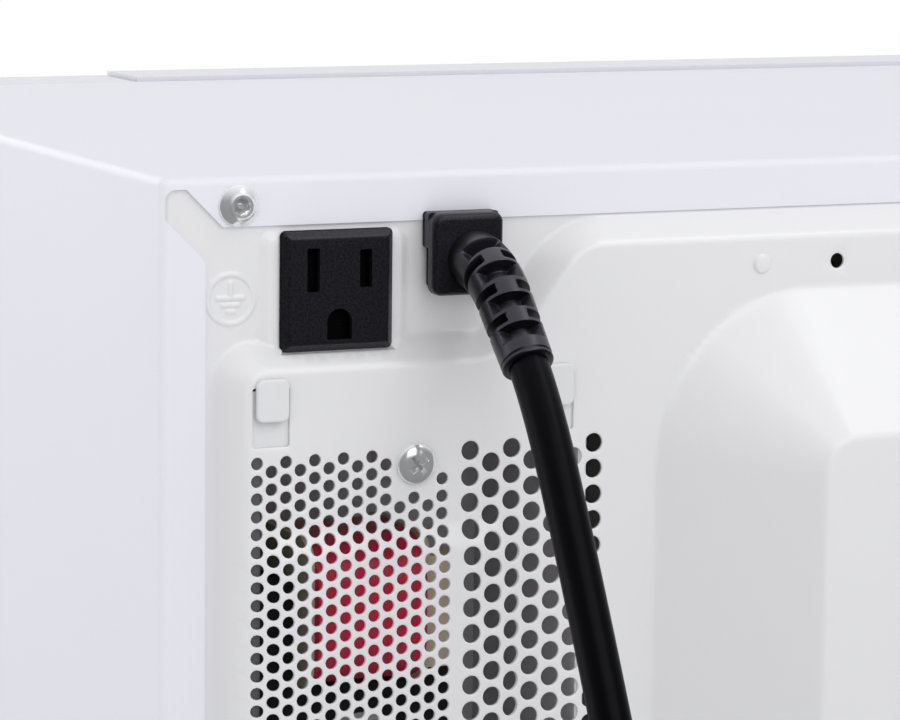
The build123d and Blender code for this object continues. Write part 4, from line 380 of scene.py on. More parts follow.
def swept(line, out, radius, columns):
    """Tube along a line: each ring stands square to the line's heading, started from the out direction."""
    heading = np.gradient(line, axis=0)
    heading /= np.linalg.norm(heading, axis=1)[:, None]
    side = np.cross(heading, out)
    side /= np.linalg.norm(side, axis=1)[:, None]
    up = np.cross(side, heading)
    angle = np.arange(columns) * 2 * pi / columns
    ring = np.cos(angle)[None, :, None] * up[:, None, :] + np.sin(angle)[None, :, None] * side[:, None, :]
    return tube_mesh(line[:, None, :] + radius * ring)


# Finishes

# Tint of the gloss on the black pieces
COOL = (0.86, 0.84, 1.0, 1.0)


class Value:
    """A node's output that Python's own sums work on: each sum adds the Math node that works it out."""

    def __init__(self, owner, socket):
        self.owner = owner
        self.socket = socket

    def other(self, output):
        """Another output of the same node."""
        return Value(self.owner, self.socket.node.outputs[output])

    def math(self, operation, *others):
        values = dict(enumerate((self, *others)))
        return self.owner.node("ShaderNodeMath", {"operation": operation}, values)

    def __add__(self, other):
        return self.math("ADD", other)

    def __mul__(self, other):
        return self.math("MULTIPLY", other)

    def __sub__(self, other):
        return self.math("SUBTRACT", other)

    def __rsub__(self, other):
        return self * -1.0 + other

    def __gt__(self, other):
        return self.math("GREATER_THAN", other)

    def __lt__(self, other):
        return self.math("LESS_THAN", other)

    __radd__ = __add__
    __rmul__ = __mul__


def rgba(colour):
    """A colour with its alpha, or a node's colour as it is."""
    return colour if isinstance(colour, Value) else (*colour, 1.0)


class Nodes:
    """The node tree of a material or of the surroundings, with one method that adds its nodes."""

    def __init__(self, tree):
        self.tree = tree

    def feed(self, socket, value):
        """Gives a socket a link or a plain value."""
        if isinstance(value, Value):
            self.tree.links.new(value.socket, socket)
        else:
            socket.default_value = value

    def node(self, kind, settings=None, inputs=None, output=0):
        """Adds a node: its settings first, then the values or links of its sockets."""
        made = self.tree.nodes.new(kind)
        for name, value in (settings or {}).items():
            setattr(made, name, value)
        for name, value in (inputs or {}).items():
            self.feed(made.inputs[name], value)
        return Value(self, made.outputs[output])

    def axes(self, place):
        """The three coordinates of a place or direction as values."""
        split = self.node("ShaderNodeSeparateXYZ", None, {"Vector": place})
        return split, split.other(1), split.other(2)

    def between(self, share, first, second, start=0.0, stop=1.0):
        """Value that goes evenly from the first to the second while the share goes from start to stop."""
        return self.node("ShaderNodeMapRange", None, {"Value": share, "From Min": start, "From Max": stop,
                                                      "To Min": first, "To Max": second})


class Finish(Nodes):
    """A material of one shader, whose patterns read the Object coordinates."""

    def __init__(self, name, colour, roughness, **sockets):
        self.material = bpy.data.materials.new(name)
        self.material.use_nodes = True
        super().__init__(self.material.node_tree)
        self.shader = self.tree.nodes["Principled BSDF"]
        self.set("Base Color", rgba(colour))
        self.set("Roughness", roughness)
        for socket, value in sockets.items():
            self.set(socket.replace("_", " ").title().replace("Ior", "IOR"), value)
        self.place = self.node("ShaderNodeTexCoord", output="Object")

    def set(self, socket, value):
        """Gives a socket of the shader a link or a plain value."""
        self.feed(self.shader.inputs[socket], value)

    def noise(self, scale, detail=2.0, stretch=None):
        """Noise from 0 to 1, about 1/scale metres across, finer by a factor on each axis."""
        where = self.place
        if stretch:
            where = self.node("ShaderNodeMapping", None, {"Vector": where, "Scale": stretch})
        return self.node("ShaderNodeTexNoise", None, {"Vector": where, "Scale": scale, "Detail": detail})

    def cells(self, scale):
        """Distance to the nearest of scattered points, in cells."""
        return self.node("ShaderNodeTexVoronoi", None, {"Vector": self.place, "Scale": scale})

    def blend(self, share, first, second):
        """Colour between two, by a share."""
        colours = {0: share, 6: rgba(first), 7: rgba(second)}
        return self.node("ShaderNodeMix", {"data_type": "RGBA"}, colours, output=2)

    def bump(self, height, distance):
        """Feeds the shader's normal from a height of 0 to 1 that stands for the distance."""
        self.set("Normal", self.node("ShaderNodeBump", None, {"Distance": distance, "Height": height}))

    def vary(self, base, amount, scale):
        """Roughness that wanders round its base by the amount."""
        self.set("Roughness", self.noise(scale) * (2 * amount) + (base - amount))


def shade(colour, factor):
    """A colour made lighter or darker by a factor."""
    return tuple(min(1.0, c * factor) for c in colour[:3])


def paint(name, colour, roughness=0.4, gloss=0.3, coat=0.05):
    """Baked paint: a faint orange peel and a slow drift of tone, under more or less of a gloss coat."""
    made = Finish(name, colour, roughness, specular_ior_level=gloss, coat_weight=coat, coat_roughness=0.2)
    drift = made.noise(9.0, 1.0)
    made.set("Base Color", made.blend(drift, shade(colour, 0.985), shade(colour, 1.012)))
    made.vary(roughness, 0.03, 60.0)
    made.bump(made.noise(320.0) * 0.7 + made.noise(1400.0, 1.0) * 0.3, 0.01 * MM)
    return made


def moulding(name, colour, roughness, grain, scale, deep, gloss=0.5):
    """Moulded plastic with a fine spark-eroded grain, whose tone in its pits is deep times the colour."""
    made = Finish(name, colour, roughness, specular_ior_level=gloss)
    pits = made.noise(scale, 3.0)
    made.set("Base Color", made.blend(pits, shade(colour, deep), shade(colour, 2 - deep)))
    made.vary(roughness, 0.06, scale * 0.6)
    made.bump(pits, grain)
    return made


def black_moulding(name, colour):
    """Black moulding with a coarse spark-eroded grain, glossy on its raised skin and dull in its pockets,
    whose colour there is darkened as painted shade.
    """
    made = Finish(name, colour, 0.42, specular_ior_level=0.1, coat_roughness=0.36, coat_tint=COOL)
    depth = made.axes(made.place)[1]
    raised = depth > REAR_Y + 1.5 * MM
    pits = (made.noise(2100.0, 3.0) - 0.36) * 3.5
    skin = made.blend(pits, shade(colour, 0.35), shade(colour, 1.7))
    # Painted shade: all that stands less than 1.5 mm out from the rear flange, such as the floors of the pin
    # pockets, is darkened to 0.08 of the colour
    made.set("Base Color", made.blend(raised, shade(colour, 0.08), skin))
    made.set("Coat Weight", raised * 0.65)
    made.bump(pits, 0.04 * MM)
    return made


def duct(name, colour):
    """Air duct: a grey moulding with painted shade, near black by the control side so that the vents there
    look dark, and with its two clips above the vents white.
    """
    made = Finish(name, colour, 0.4)
    x, _, z = made.axes(made.place)
    # Painted shade: by the control side the duct is near black, standing in for the shade seen deep through
    # the vents there
    wall = made.blend(x > SIDE_X - 28 * MM, colour, (0.1, 0.1, 0.11))
    made.set("Base Color", made.blend(z > TOP_Z - 61.5 * MM, wall, (0.74, 0.75, 0.77)))
    made.bump(made.noise(1500.0, 3.0), 0.008 * MM)
    return made


def plated(name, colour, roughness, stretch=(1.0, 1.0, 1.0), scale=900.0, metallic=1.0):
    """Plated or drawn metal with fine streaks and dull patches."""
    made = Finish(name, colour, roughness, metallic=metallic)
    streak = made.noise(scale, 2.0, stretch)
    made.set("Base Color", made.blend(made.noise(120.0, 3.0), shade(colour, 0.9), shade(colour, 1.06)))
    made.set("Roughness", streak * 0.16 + (roughness - 0.08))
    made.bump(streak, 0.004 * MM)
    return made


def laminated(name, colour):
    """Stack of varnished steel sheets that show as fine lines."""
    made = Finish(name, colour, 0.45, metallic=0.6)
    sheet = 0.5 * MM
    depth = made.axes(made.place)[1]
    line = (depth * (1 / sheet)).math("FRACT") > 0.16
    made.set("Base Color", made.blend(line, shade(colour, 0.35), colour))
    made.bump(line, 0.06 * MM)
    return made


def perforated(name, colour):
    """Black screen sheet with staggered round holes that are clear: two square grids, half a pitch apart."""
    made = Finish(name, colour, 0.5, metallic=0.4)
    x, _, z = made.axes(made.place)
    pitch = 2.1 * MM
    reach = 0.095
    grids = []
    for shift in (0.0, 0.5):
        across = (x * (1 / pitch) + shift).math("FRACT") - 0.5
        along = (z * (1 / (pitch * sqrt(3))) + shift).math("FRACT") - 0.5
        grids.append(across * across + along * along * 3.0 < reach)
    made.set("Alpha", 1.0 - grids[0].math("MAXIMUM", grids[1]))
    return made


def clear(name, colour, roughness):
    """Clear sheet or pressed glass."""
    return Finish(name, colour, roughness, transmission_weight=1.0, ior=1.46)


def smoked(name, colour):
    """Smoked window, nearly black under a gloss coat."""
    return Finish(name, colour, 0.06, coat_weight=0.5)


def lacquered(name, colour):
    """Enamelled wire: bright lacquer with darker gaps between the turns."""
    made = Finish(name, colour, 0.3, coat_weight=0.6, coat_roughness=0.15)
    tone = made.noise(1500.0, 2.0, (4.0, 1.0, 1.0))
    made.set("Base Color", made.blend(tone, shade(colour, 0.55), shade(colour, 1.3)))
    return made


def circuit(name, colour):
    """Green board with faint tracks."""
    made = Finish(name, colour, 0.4, coat_weight=0.3)
    tracks = made.cells(260.0) > 0.5
    made.set("Base Color", made.blend(tracks, shade(colour, 0.8), shade(colour, 1.25)))
    return made


def rubber(name, colour, roughness=0.36, gloss=0.1):
    """Soft jacket: nearly smooth, with a faint sheen and fine dust in its tone."""
    made = Finish(name, colour, roughness, specular_ior_level=gloss, specular_tint=COOL)
    made.set("Base Color", made.blend(made.noise(700.0, 3.0), shade(colour, 0.8), shade(colour, 1.3)))
    made.vary(roughness, 0.05, 400.0)
    made.bump(made.noise(1300.0), 0.006 * MM)
    return made


def mica_sheet(name, colour):
    """Pressed mica: pale flakes with a pearly gloss."""
    made = Finish(name, colour, 0.35, coat_weight=0.3)
    flakes = made.cells(350.0)
    made.set("Base Color", made.blend(flakes, shade(colour, 1.1), shade(colour, 0.75)))
    made.bump(flakes, 0.03 * MM)
    return made


# The function for each slot's material, its colour or that colour's name in OvenColours, and its measures
FINISHES = {
    "white_enamel": (paint, "enamel", 0.5, 0.2, 0.0),
    "panel_enamel": (paint, "panel", 0.32, 0.5, 0.35),
    "cavity_enamel": (paint, (0.68, 0.68, 0.66)),
    "plated_steel": (plated, (0.94, 0.96, 0.99), 0.18, (1.0, 1.0, 1.0), 500.0, 0.68),
    "white_plastic": (moulding, "moulding", 0.42, 0.006 * MM, 1400.0, 0.985, 0.25),
    "grey_keypad": (moulding, (0.55, 0.57, 0.6), 0.45, 0.012 * MM, 1600.0, 0.96),
    "smoked_window": (smoked, (0.012, 0.012, 0.014)),
    "clear_sheet": (clear, (0.92, 0.95, 0.95), 0.05),
    "screen_metal": (perforated, (0.02, 0.02, 0.022)),
    "grey_plastic": (moulding, (0.5, 0.5, 0.49), 0.45, 0.01 * MM, 1500.0, 0.96),
    "spring_steel": (plated, (0.5, 0.5, 0.5), 0.3),
    "board_green": (circuit, (0.02, 0.12, 0.05)),
    "black_plastic": (black_moulding, "black"),
    "black_rubber": (rubber, "jacket"),
    "core_steel": (laminated, (0.09, 0.09, 0.1)),
    "winding": (lacquered, (0.4, 0.14, 0.04)),
    "red_winding": (lacquered, "winding"),
    "cream_plastic": (moulding, (0.62, 0.57, 0.44), 0.45, 0.01 * MM, 1500.0, 0.95),
    "can_metal": (plated, (0.66, 0.66, 0.67), 0.35),
    "fin_metal": (plated, (0.74, 0.74, 0.75), 0.4, (0.05, 1.0, 1.0)),
    "mica": (mica_sheet, (0.5, 0.42, 0.26)),
    "duct_plastic": (duct, (0.62, 0.62, 0.65)),
    "tray_glass": (clear, (0.9, 0.95, 0.94), 0.02),
    "brass_strip": (plated, (0.7, 0.48, 0.16), 0.3),
    "nickel": (plated, (0.7, 0.68, 0.64), 0.18),
    "foot_rubber": (rubber, (0.08, 0.08, 0.085), 0.6),
    "ring_plastic": (moulding, (0.66, 0.63, 0.56), 0.4, 0.008 * MM, 1500.0, 0.97),
}


def finish(slot):
    """The material for one of the record's slots, made once."""
    name = "finish_" + slot
    if name not in bpy.data.materials:
        make, colour, *measures = FINISHES[slot]
        if isinstance(colour, str):
            colour = tuple(getattr(bpy.context.scene.oven_colours, colour))
        make(name, colour, *measures)
    return bpy.data.materials[name]


# Rear panel

def grown(limits, amount):
    """Limits moved out by an amount on all four sides."""
    u0, u1, v0, v1 = limits
    return u0 - amount, u1 + amount, v0 - amount, v1 + amount


def from_plateau(u, v):
    """Distance from the plateau's top, negative within it.

    The top is a wide rectangle less the step round the outlet, with a slanted run down to that step.
    """
    margin, top_v, low_v = 18.3 * MM, 17.5 * MM, 228.0 * MM
    step_u, step_v, run_end_u = 81.5 * MM, 43.0 * MM, 100.0 * MM
    corner, bend = 4 * MM, 8 * MM
    run_u, run_v = run_end_u - step_u, top_v - step_v
    slant = ((u - step_u) * run_v - (v - step_v) * run_u) / sqrt(run_u ** 2 + run_v ** 2)
    upper = inside_both(inside_either(step_v - v, slant, bend), top_v - v, corner)
    sides = inside_both(margin - u, u - (WIDTH - margin), corner)
    return inside_both(inside_both(upper, sides, corner), v - low_v, corner)


def from_mark(u, v):
    """Distance from the strokes of the earth mark: a ring, a stem and three bars."""
    u, v = u - MARK_U, v - MARK_V
    ring, half, corner = 5.5 * MM, 0.35, 0.1 * MM
    stroke = np.abs(np.hypot(u, v) - ring) - half * MM
    stem_and_bars = ((-2.0, half, 1.8), (-0.2, 3.3, half), (1.3, 2.1, half), (2.8, 1.0, half))
    for mid_v, half_u, half_v in stem_and_bars:
        limits = (-half_u * MM, half_u * MM, (mid_v - half_v) * MM, (mid_v + half_v) * MM)
        stroke = np.minimum(stroke, from_rectangle(u, v, limits, corner))
    return stroke


def panel_form(u, v):
    """Height of the pressed sheet out from the rear flange: rim, plateau, outlet seat, bulge and vent pad."""
    size = bpy.context.scene.oven_sizes
    rise, seat = PLATEAU_W - RIM_W, SEAT_W - RIM_W
    form = pressed(from_plateau(u, v), rise, rise * tan(size.plateau_lean), 1.9 * MM, 1.6 * MM)
    around_seat = from_rectangle(u, v, SEAT, 2.0 * MM)
    form = np.maximum(form, pressed(around_seat, seat, 1.9 * MM, 0.3 * MM, 0.3 * MM))
    form = np.where(from_rectangle(u, v, POCKET, 0.5 * MM) < 0, np.minimum(form, seat), form)
    spread = size.bulge_rise * tan(size.bulge_lean)
    form = form + pressed(from_rectangle(u, v, BULGE, 8 * MM), size.bulge_rise, spread, 2.4 * MM, 1.4 * MM)
    pad = from_rectangle(u, v, VENT_PAD, 3 * MM)
    return RIM_W + form + pressed(pad, size.pad_rise, 5.85 * MM, 4 * MM, 4 * MM)


def panel_skin(u, v):
    """Outer height of the panel: its form with the dimple, the earth mark and the rounded edge."""
    dimple = np.hypot(u - DIMPLE_U, v - DIMPLE_V) - 1.9 * MM
    skin = panel_form(u, v) + pressed(dimple, 0.6 * MM, 0.4 * MM, 0.3 * MM, 0.2 * MM)
    skin = skin + pressed(from_mark(u, v), 0.32 * MM, 0.34 * MM, 0.15 * MM, 0.15 * MM)
    edge = 1.6 * MM
    short = np.clip(edge + from_rectangle(u, v, PANEL, PANEL_CORNER), 0, edge)
    return skin - (edge - np.sqrt(edge * edge - short * short))


def vent_places(u0, columns, pitch, clear_of):
    """Middles of staggered round vents, column by column, less those under the duct screw."""
    rows = int((VENT_LOW_V - VENT_TOP_V) / pitch) + 1
    column, row = np.meshgrid(np.arange(columns), np.arange(rows), indexing="ij")
    u = u0 + column * pitch * sqrt(3) / 2
    v = VENT_TOP_V + (row + 0.5 * (column % 2)) * pitch
    far = np.hypot(u - DUCT_SCREW_UV[0], v - DUCT_SCREW_UV[1]) > clear_of
    keep = (v < VENT_LOW_V) & far
    return np.stack([u[keep], v[keep]], axis=1)


def panel_layout():
    """Flat points of the rear panel: outline, openings with their rounded lips, and the grid between.

    A lip is the opening's loop and the loop next to it, each let down by its own amount.
    """
    size = bpy.context.scene.oven_sizes
    lip, shoulder = 0.16 * MM, 0.035 * MM
    layout = Layout(round_rectangle(PANEL, PANEL_CORNER, 5))
    circles = []
    small = vent_places(SMALL_VENT_U, 14, 4.0 * MM, 6.9 * MM)
    big = vent_places(BIG_VENT_U, 7, 6.0 * MM, 0.0)
    for places, radius, count in ((small, size.vent_small / 2, 12), (big, size.vent_big / 2, 16)):
        for u, v in places:
            circles.append((u, v, radius + 0.75 * MM))
            layout.edge(ring_of(u, v, radius, count), lip)
            layout.free(ring_of(u, v, radius + 0.16 * MM, count), shoulder)
            layout.free(ring_of(u, v, radius + 0.36 * MM, count))
    squares = [(u - CLIP_HALF, u + CLIP_HALF, *CLIP_V) for u in CLIP_U]
    squares.append((64.3 * MM, 78.5 * MM, 11.8 * MM, 26.4 * MM))
    squares.append((OUTLET_U - 12.5 * MM, OUTLET_U + 12.5 * MM, OUTLET_V - 12.6 * MM, OUTLET_V + 12.6 * MM))
    for limits in squares:
        layout.edge(round_rectangle(limits, 0.6 * MM, 3, clockwise=True), lip)
        layout.free(round_rectangle(grown(limits, 0.3 * MM), 0.9 * MM, 3, clockwise=True), shoulder)
    rounds = [(HOLE_U, DIMPLE_V, 1.8 * MM)]
    rounds += [(u, v, SCREW_HOLE) for u, v in (DUCT_SCREW_UV, *case_screw_places())]
    for u, v, radius in rounds:
        circles.append((u, v, radius + 0.7 * MM))
        layout.edge(ring_of(u, v, radius, 20), lip)
        layout.free(ring_of(u, v, radius + 0.3 * MM, 20))
    beside = 0.04 * MM
    along = np.linspace(POCKET[0] - beside, POCKET[1] + beside, 40)
    for v in (POCKET[3] - beside, POCKET[3] + beside):
        layout.free(np.column_stack([along, np.full(40, v)]))
    for radius in (1.7, 1.9, 2.15, 2.4, 2.7):
        layout.free(ring_of(DIMPLE_U, DIMPLE_V, radius * MM, 28))
    circles.append((DIMPLE_U, DIMPLE_V, 3.4 * MM))
    layout.free(clear_grid(squares, circles))
    return layout


def clear_grid(squares, circles):
    """Grid points of the panel, close together where its form bends, less those in or near an opening."""
    across = lines(1.1, (3, 0.38), (11.5, 1.7), (20.5, 0.6), (26, 0.9), (57, 3), (108, 0.8), (117.5, 2.5),
                   (122, 0.6), (149, 1.7), (158, 0.5), (375, 4), (384, 0.5), (411, 1.7), (415, 0.6),
                   (420, 1.2), (429, 0.6), (437, 2), (438.9, 0.38))
    down = lines(1.1, (3, 0.38), (10.5, 1.8), (19.5, 0.6), (28, 1.0), (32, 0.6), (36, 1.2), (45, 0.6),
                 (58, 1.6), (68, 0.5), (79, 2.5), (86.5, 1.1), (177, 6), (182.5, 1.1), (187, 0.5),
                 (214.5, 1.7), (218.5, 0.6), (226.5, 2), (235.5, 0.6), (244, 2), (245.8, 0.36))
    u, v = (a.ravel() for a in np.meshgrid(across, down, indexing="ij"))
    fine = np.arange(-6.4, 6.41, 0.26) * MM
    mark_u, mark_v = (a.ravel() for a in np.meshgrid(MARK_U + fine, MARK_V + fine))
    half = 6.8 * MM
    near_mark = (np.abs(u - MARK_U) < half) & (np.abs(v - MARK_V) < half)
    u = np.concatenate([u[~near_mark], mark_u])
    v = np.concatenate([v[~near_mark], mark_v])
    keep = np.ones(len(u), bool)
    for limits in squares:
        keep &= from_rectangle(u, v, limits, 0.6 * MM) > 0.75 * MM
    keep &= (np.abs(v - POCKET[3]) > 0.2 * MM) | (np.abs(u - OUTLET_U) > 14.1 * MM)
    for mid_u, mid_v, reach in circles:
        keep &= np.hypot(u - mid_u, v - mid_v) > reach
    return np.stack([u[keep], v[keep]], axis=1)


def case_screw_places():
    """The two rear case screws and the two lower ones at the sides."""
    u, v = CASE_SCREW_UV
    side_u, side_v = SIDE_SCREW_UV
    return [(u, v), (WIDTH - u, v), (side_u, side_v), (WIDTH - side_u, side_v)]


def rear_panel_mesh():
    """Pressed panel: the outer skin from its height, the inner skin one sheet's thickness behind it.

    The inner edge is drawn in by the sheet and back to the depth of the panel's flange.
    """
    layout = panel_layout()
    flat = layout.points()
    u, v = flat[:, 0], flat[:, 1]
    triangles = triangulated(flat, layout.loops)
    skin = panel_skin(u, v) - np.concatenate(layout.drops)
    step = 0.05 * MM
    lean_u = (panel_form(u + step, v) - panel_form(u - step, v)) / (2 * step)
    lean_v = (panel_form(u, v + step) - panel_form(u, v - step)) / (2 * step)
    long = np.sqrt(1 + lean_u ** 2 + lean_v ** 2)
    inner_u, inner_v = u + SHEET * lean_u / long, v + SHEET * lean_v / long
    inner_w = panel_form(u, v) - SHEET / long
    rim = layout.loops[0]
    inner_u[rim] += SHEET * np.sign(WIDTH / 2 - u[rim])
    inner_v[rim] += SHEET * np.sign(TOP_Z / 2 - v[rim])
    inner_w[rim] = RIM_W - 8.8 * MM
    return punched(at_rear(u, v, skin), at_rear(inner_u, inner_v, inner_w), triangles, layout.loops)


class REAR_OT_panel(bpy.types.Operator):
    """Make the pressed rear panel with its vents"""

    bl_idname = "oven.rear_panel"
    bl_label = "Rear panel"

    def execute(self, context):
        add_piece("rear_panel", rear_panel_mesh(), "oven", "panel_enamel", 40.0, ("back_panel",))
        return {"FINISHED"}


# Outlet and cord clamp

def block(limits, radius, floor_w, profile, openings=(), pocket_w=0.0):
    """Closed block on the rear, from rings of its outline, each drawn in by an inset at its height.

    The face fills the last ring. Openings in it are pockets with a level floor.
    """
    flat, rings = [], []
    for inset, w in ((0.0, floor_w), *profile):
        ring = round_rectangle(grown(limits, -inset), max(radius - inset, 0.15 * MM), 8)
        flat.append(ring)
        rings.append(at_rear(ring[:, 0], ring[:, 1], w))
    rows, columns = len(rings), len(flat[0])
    layout = Layout(flat[-1])
    for opening in openings:
        layout.edge(opening)
    spots = layout.points()
    start = (rows - 1) * columns
    faces = quads(rows, columns).tolist() + (triangulated(spots, layout.loops) + start).tolist()
    faces.append(np.arange(columns)[::-1].tolist())
    points = [*rings, at_rear(spots[columns:, 0], spots[columns:, 1], profile[-1][1])]
    count = start + len(spots)
    for loop in layout.loops[1:]:
        points.append(at_rear(spots[loop, 0], spots[loop, 1], pocket_w))
        below = count + np.arange(len(loop))
        faces += walls(loop + start, below)
        faces.append(below[::-1].tolist())
        count += len(loop)
    return np.concatenate(points), faces


def rolled(edge, high_w, flat):
    """Profile of a block's edge that rolls over: an arc with a straight bevel in its middle.

    The flat is the bevel's share, from 0 to 1.
    """
    angle = np.radians([0, 9, 20, 32, 45 - 12 * flat, 45 + 12 * flat, 58, 70, 81, 90])
    return [(edge * (1 - cos(a)), high_w - edge * (1 - sin(a))) for a in np.unique(angle)]


def dome_opening(u, v, radius):
    """Opening with a round top and a square foot, clockwise as seen from outside."""
    angle = np.linspace(pi, 0, 13)
    arc = np.stack([u + radius * np.cos(angle), v - radius * np.sin(angle)], axis=1)
    foot = v + radius + 1 * MM
    return np.concatenate([arc, [[u + radius, foot], [u - radius, foot]]])


def outlet_mesh():
    """Outlet: a face with wide bevelled edges and three pockets for a plug's pins, on a square neck."""
    half_u, half_v = 13.5 * MM, 13.6 * MM
    limits = (OUTLET_U - half_u, OUTLET_U + half_u, OUTLET_V - half_v, OUTLET_V + half_v)
    openings = []
    blade_v, blade_out, blade_half = OUTLET_V - 4.8 * MM, 6.35 * MM, 1.5 * MM
    for u, half_tall in ((OUTLET_U - blade_out, 4.9 * MM), (OUTLET_U + blade_out, 4.25 * MM)):
        slot = (u - blade_half, u + blade_half, blade_v - half_tall, blade_v + half_tall)
        openings.append(round_rectangle(slot, 0.3 * MM, 3, clockwise=True))
    openings.append(dome_opening(OUTLET_U, OUTLET_V + 7.0 * MM, 3.0 * MM))
    bevel = np.array([(0.0, 1.3), (0.05, 1.42), (0.17, 1.58), (0.4, 1.81), (1.0, 2.41), (1.5, 2.91),
                      (1.66, 3.03), (1.86, 3.08), (2.1, 3.1)]) * MM
    face = block(limits, 1.3 * MM, SEAT_W, bevel, openings, -14.9 * MM)
    neck = block(grown(limits, -1.2 * MM), 1.0 * MM, -26.0 * MM, [(0.0, SEAT_W + 0.05 * MM)])
    return merged(face, neck)


def clamp_mesh():
    """Cord clamp: a thick slab over a stepped neck, and the block that holds it inside the panel."""
    u0, u1, v0, v1 = 62.7 * MM, 80.1 * MM, 9.3 * MM, 28.0 * MM
    under = CLAMP_FACE_W - 3.7 * MM
    step_v = v0 + 8.2 * MM
    gap, into = 0.02 * MM, 0.1 * MM
    slab = block((u0, u1, v0, v1), 2.4 * MM, under, rolled(1.7 * MM, CLAMP_FACE_W, 0.8))
    neck_top = [(0.0, under + into)]
    upper = block((u0 + gap, u1 - gap, v0 + gap, step_v), 0.8 * MM, 0.3 * MM, neck_top)
    lower = block((u0 + 3 * MM, u1 - gap, step_v - 1.6 * MM, v1 - gap), 1.2 * MM, RIM_W, neck_top)
    hold = block((u0 + 1.7 * MM, u1 - 1.7 * MM, 11.9 * MM, v1 - 1.7 * MM), 0.5 * MM, -14 * MM,
                 [(0.0, RIM_W + into)])
    return merged(slab, upper, lower, hold)


class REAR_OT_outlet(bpy.types.Operator):
    """Make the accessory outlet and the cord clamp"""

    bl_idname = "oven.outlet_and_clamp"
    bl_label = "Outlet and cord clamp"

    def execute(self, context):
        add_piece("outlet_face", outlet_mesh(), "oven", "black_plastic", 30.0, ("accessory_outlet",))
        add_piece("cord_clamp", clamp_mesh(), "oven", "black_plastic", 30.0, ("cord_gland",))
        return {"FINISHED"}


# Screws

# Radius and height in millimetres of a screw's shank, under a head whose foot is at 0
SHANK = [(1.75, 0.0), (1.75, -7.8), (1.2, -9.0), (0.3, -9.4)]
HEAD_RADIUS = 4.7


def security_head(place):
    """Case screw: a coned skirt, a raised flat ring and a six-sided recess with a centre pin."""
    level = [(r, 2.4) for r in (0.3, 0.55, 0.62, 0.68, 0.8, 1.1, 1.4, 1.6, 1.75, 1.85)]
    raised = [(1.95, 2.42), (2.1, 2.45), (2.55, 2.45), (2.7, 2.3), (2.85, 2.05)]
    skirt = [(3.3, 1.75), (3.9, 1.2), (4.4, 0.72), (4.62, 0.5), (HEAD_RADIUS, 0.35), (HEAD_RADIUS, 0.0)]

    def recess(r, a):
        across = r * np.cos((a + pi / 6) % (pi / 3) - pi / 6)
        well = 1.5 * MM * (1 - ramp((across - 1.72 * MM) / (0.12 * MM)))
        pin = 1.1 * MM * (1 - ramp((r - 0.58 * MM) / (0.08 * MM)))
        return np.maximum(well - pin, 0)

    return turned(place, level + raised + skirt + SHANK, recess, 48)


def cross_head(place):
    """Pan-head screw: a dome with a cross recess of even depth."""
    angle = np.linspace(0.06, pi / 2, 22)
    dome = np.column_stack([HEAD_RADIUS * np.sin(angle), 0.5 + 1.9 * np.cos(angle) ** 0.9]).tolist()

    def recess(r, a):
        turn = a - radians(38)
        x, y = np.abs(r * np.cos(turn)), np.abs(r * np.sin(turn))
        deep = 1.5 * MM * (1 - ramp((np.maximum(x, y) - 2.0 * MM) / (0.35 * MM)))
        return deep * (1 - ramp((np.minimum(x, y) - 0.45 * MM) / (0.2 * MM)))

    return turned(place, dome + [(HEAD_RADIUS, 0.0)] + SHANK, recess, 96)


class REAR_OT_screws(bpy.types.Operator):
    """Make the case screws and the duct screw"""

    bl_idname = "oven.screws"
    bl_label = "Screws"

    def execute(self, context):
        heads = [security_head((u, v, 0.0)) for u, v in case_screw_places()]
        heads.append(cross_head((*DUCT_SCREW_UV, PLATEAU_W)))
        add_piece("rear_screws", merged(*heads), "oven", "plated_steel", 32.0, ("screws",))
        return {"FINISHED"}


# Cord

def boot_line(along):
    """Middle of the strain relief at a distance along it, with its heading and outward direction.

    The line is an arc and then a straight end.
    """
    radius, start, arc_long = 25.5 * MM, radians(5.0), 18 * MM
    bent = np.minimum(along, arc_long)
    angle = start + bent / radius
    straight = along - bent
    y = REAR_Y + CLAMP_FACE_W + radius * (np.sin(angle) - sin(start)) + straight * np.cos(angle)
    z = TOP_Z - BOOT_V + radius * (np.cos(angle) - cos(start)) - straight * np.sin(angle)
    zero = np.zeros_like(angle)
    out = np.stack([zero, np.sin(angle), np.cos(angle)], axis=-1)
    heading = np.stack([zero, np.cos(angle), -np.sin(angle)], axis=-1)
    return np.stack([zero + SIDE_X - BOOT_U, y, z], axis=-1), heading, out


def boot_mesh():
    """Strain relief: a tapered core with three bands of two rings, cut in front and behind between the bands.

    The slot inside a band leaves a bar in front and behind, and the cut between bands leaves one on each
    side. The pattern is turned a little to the control side, and all steps in the radius are smooth.
    """
    along = np.linspace(0, BOOT_LONG, 280)
    angle = np.arange(128) * 2 * pi / 128
    s, a = np.meshgrid(along, angle, indexing="ij")
    full = 6.7 * MM - 0.8 * MM * s / BOOT_LONG
    core, soft, tip = 3.5 * MM, 0.5 * MM, 0.6 * MM
    x = full * np.abs(np.sin(a - radians(14.0)))

    def between(first, last):
        """1 from the first to the last distance along it in millimetres, and 0 beyond."""
        return ramp((s - first * MM) / soft + 0.5) * (1 - ramp((s - last * MM) / soft + 0.5))

    side_cut = ramp((x - 2.6 * MM) / soft + 0.5)
    front_cut = 1 - ramp((x - 4.6 * MM) / soft + 0.5)
    cut = between(28.0, 31.5) * front_cut
    for start in (4.3, 12.2, 20.1):
        cut = np.maximum(cut, between(start, start + 3.5) * front_cut)
        cut = np.maximum(cut, between(start + 4.8, start + 6.6) * side_cut)
    radius = full - (full - core) * cut - 0.25 * MM * between(34.6, 35.1)
    end = np.clip(s - (BOOT_LONG - tip), 0, tip) / tip
    radius = radius - 0.5 * MM * (1 - np.sqrt(1 - end ** 2))
    line, _, out = boot_line(along)
    side = np.array([1.0, 0, 0])
    ring = np.cos(a)[..., None] * out[:, None, :] + np.sin(a)[..., None] * side
    return tube_mesh(line[:, None, :] + radius[..., None] * ring)


